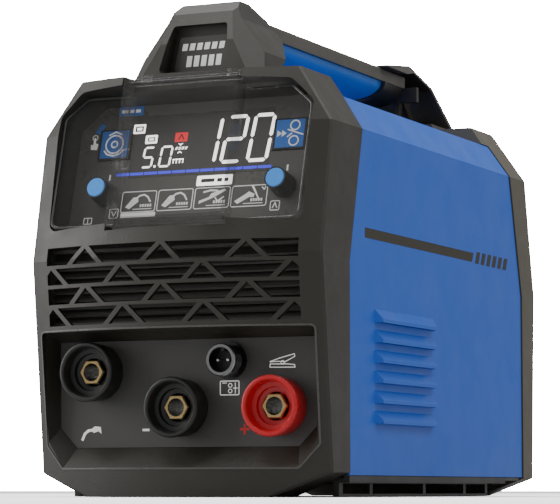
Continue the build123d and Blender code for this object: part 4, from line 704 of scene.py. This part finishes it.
# The raised band in the middle of the cover parts its bead in two.
BAND_X = 30.4
CORNER_POINTS = 6
cover_edge = ((-64.5, 0.1), (64.5, 0.1), (64.9, 56.5), (53.9, 66.4), (-53.9, 66.4), (-64.9, 56.5))
cover_inner = ((-63.4, 1.2), (63.4, 1.2), (63.8, 56.1), (53.5, 65.3), (-53.5, 65.3), (-63.8, 56.1))
loop = list(zip(soft_corners(cover_edge, 4.4), soft_corners(cover_inner, 3.4)))
first, last = CORNER_POINTS, 4 * CORNER_POINTS
right_arm = [((BAND_X, 0.1), (BAND_X, 1.2))] + loop[first:last]
right_arm.append(((BAND_X, 66.4), (BAND_X, 65.3)))
left_arm = [((-BAND_X, 66.4), (-BAND_X, 65.3))] + loop[last:] + loop[:first]
left_arm.append(((-BAND_X, 0.1), (-BAND_X, 1.2)))
for name, arm in (("left_cover_bead", left_arm), ("right_cover_bead", right_arm)):
    bead = relief(name, on_cover, strip(arm), cover_rim, "display_cover", 0.55, 0.0)
    soften(bead, 0.2)

# ---------------------------------------------------------------- bead round the mouth of the tray
mouth_edge = ((-60.6, 13.3), (60.6, 13.3), (70.0, 24.0), (70.3, 76.6), (-70.3, 76.6), (-70.0, 24.0))
mouth_bead = ((-61.0, 12.4), (61.0, 12.4), (70.9, 23.7), (71.2, 77.5), (-71.2, 77.5), (-70.9, 23.7))
corners = list(zip(soft_corners(mouth_bead, 2.6), soft_corners(mouth_edge, 1.8)))
corners.append(corners[0])
# The long runs are cut into short ones, so that they follow the bow of the face.
RUN = 5
pairs = []
for start, end in zip(corners, corners[1:]):
    cuts = max(1, round(math.dist(start[0], end[0]) / RUN))
    for i in range(cuts):
        pairs.append(tuple(Vector(p).lerp(Vector(q), i / cuts) for p, q in zip(start, end)))
pairs.append(pairs[0])
bead = relief("tray_bead", on_front, strip(pairs), rim_plastic, "chassis", 0.35, 0.0)
soften(bead, 0.15)

# ---------------------------------------------------------------- tray marks
tray_marks = [[(-49.9, 31.6), (-48.2, 32.9), (-45.0, 32.6), (-44.6, 29.4), (-46.2, 30.6),
               (-48.9, 29.8)]]
tray_marks += stroke([(-49.0, 31.2), (-51.6, 30.9), (-53.5, 29.4), (-54.9, 26.3)], 1.3)
tray_marks += rect(-22.8, 30.4, -19.2, 31.5)
tray_marks += outline_box(17.3, 46.4, 27.3, 53.2, 0.7)
tray_marks += ring(22.6, 51.0, 1.1, 0.4) + ring(22.6, 48.4, 1.1, 0.4)
tray_marks += rect(18.5, 51.9, 20.9, 52.3)
tray_marks += rect(25.0, 47.2, 25.4, 52.2) + rect(24.0, 49.5, 26.4, 49.9)
clip_top = [(42.7, 61.4), (47.6, 63.0), (55.0, 64.8), (55.2, 63.6), (50.4, 61.3), (47.1, 61.5)]
clip_low = [(42.7, 58.9), (55.3, 58.7), (55.1, 59.9), (50.6, 60.3), (47.0, 60.3), (42.9, 60.4)]
for jaw in (clip_top, clip_low):
    tray_marks += stroke(jaw + jaw[:1], 0.45)
tray_marks += ring(49.1, 61.0, 1.0, 0.4)
relief("tray_marks", on_tray, tray_marks, white_ink, "chassis")
plus = [(29.45, 28.4), (30.55, 28.4), (30.55, 30.25), (32.4, 30.25), (32.4, 31.35), (30.55, 31.35),
        (30.55, 33.2), (29.45, 33.2), (29.45, 31.35), (27.6, 31.35), (27.6, 30.25), (29.45, 30.25)]
relief("plus_mark", on_tray, [plus], red_ink, "chassis")

# ---------------------------------------------------------------- name plate and side stripe
plate = []
for row, (low, high, count) in enumerate(((211.5, 214.8, 6), (203.6, 208.8, 5))):
    for i in range(count):
        x = (i - count / 2) * 3.9 + row * 0.2
        plate.append([(x, low), (x + 2.7, low), (x + 3.5, high), (x + 0.8, high)])
relief("plate_marks", on_plate, plate, white_ink, "chassis")
stripe = [[(-85.8, 120.4), (55.9, 120.4), (58.2, 125.2), (-85.8, 125.2)]]
for i in range(6):
    y = 60.2 + 8.3 * i
    stripe.append([(y, 120.0), (y + 5.2, 120.0), (y + 8.0, 126.2), (y + 2.8, 126.2)])
relief("side_stripe", on_side, stripe, dark_ink, "chassis", 0.05)

# ---------------------------------------------------------------- camera
camera_data = bpy.data.cameras.new("camera")
camera_data.lens = 163.98
camera_data.sensor_width = 36
camera_data.sensor_fit = "HORIZONTAL"
camera_data.clip_start = 0.01
camera = bpy.data.objects.new("camera", camera_data)
camera.location = (0.5364, -1.1766, 0.0032)
camera.rotation_euler = (math.radians(95.326), 0, math.radians(24.87))
bpy.context.scene.collection.objects.link(camera)
bpy.context.scene.camera = camera


# ---------------------------------------------------------------- light and floor
def softbox(name, place, target, width, height, power):
    """A rectangular lamp that faces its target."""
    data = bpy.data.lights.new(name, "AREA")
    data.shape = "RECTANGLE"
    data.size = width
    data.size_y = height
    data.energy = power
    lamp = bpy.data.objects.new(name, data)
    lamp.location = place
    lamp.rotation_euler = (Vector(target) - Vector(place)).to_track_quat("-Z", "Y").to_euler()
    bpy.context.scene.collection.objects.link(lamp)


softbox("top_light", (-0.2, -0.1, 1.5), (0, 0, 0.1), 1.2, 1.2, power=25)
softbox("left_light", (-1.4, -0.8, 0.6), (0, 0, 0.12), 0.8, 1.2, power=16)
softbox("right_light", (1.4, 0.2, 1.5), (0, 0, 0.1), 0.9, 0.9, power=12)

# The backdrop is seen as pure white, and a weaker fill lights the object.
BACKDROP_STRENGTH = 40.0
FILL_STRENGTH = 0.43
world = bpy.data.worlds.new("studio")
world.use_nodes = True
tree = world.node_tree
backdrop = tree.nodes["Background"]
backdrop.inputs["Color"].default_value = (1, 1, 1, 1)
backdrop.inputs["Strength"].default_value = BACKDROP_STRENGTH
fill = tree.nodes.new("ShaderNodeBackground")
fill.inputs["Color"].default_value = (1, 1, 1, 1)
fill.inputs["Strength"].default_value = FILL_STRENGTH
ray = tree.nodes.new("ShaderNodeLightPath")
mix = tree.nodes.new("ShaderNodeMixShader")
tree.links.new(ray.outputs["Is Camera Ray"], mix.inputs["Fac"])
tree.links.new(fill.outputs["Background"], mix.inputs[1])
tree.links.new(backdrop.outputs["Background"], mix.inputs[2])
tree.links.new(mix.outputs["Shader"], tree.nodes["World Output"].inputs["Surface"])
bpy.context.scene.world = world

# The floor is seen as almost white, but throws back only as much light as a grey one.
FLOOR_HALF = 6
FLOOR_Z = -0.0002
FLOOR_BOUNCE = 0.45
square = ((-1, -1), (1, -1), (1, 1), (-1, 1))
floor_corners = [(x * FLOOR_HALF, y * FLOOR_HALF, FLOOR_Z) for x, y in square]
floor_data = bpy.data.meshes.new("floor")
floor_data.from_pydata(floor_corners, [], [(0, 1, 2, 3)])
floor = bpy.data.objects.new("floor", floor_data)
bpy.context.scene.collection.objects.link(floor)
floor_shader = Shader("pale_floor", (0.86, 0.86, 0.86), 0.6)
seen = floor_shader.mix(floor_shader.noise(3, 3), (1.9, 1.9, 1.9), (1.95, 1.95, 1.95))
bounce = (FLOOR_BOUNCE, FLOOR_BOUNCE, FLOOR_BOUNCE)
floor_ray = floor_shader.node("ShaderNodeLightPath")
floor_shader.color(floor_shader.mix(floor_ray.outputs["Is Camera Ray"], bounce, seen))
floor_data.materials.append(floor_shader.material)
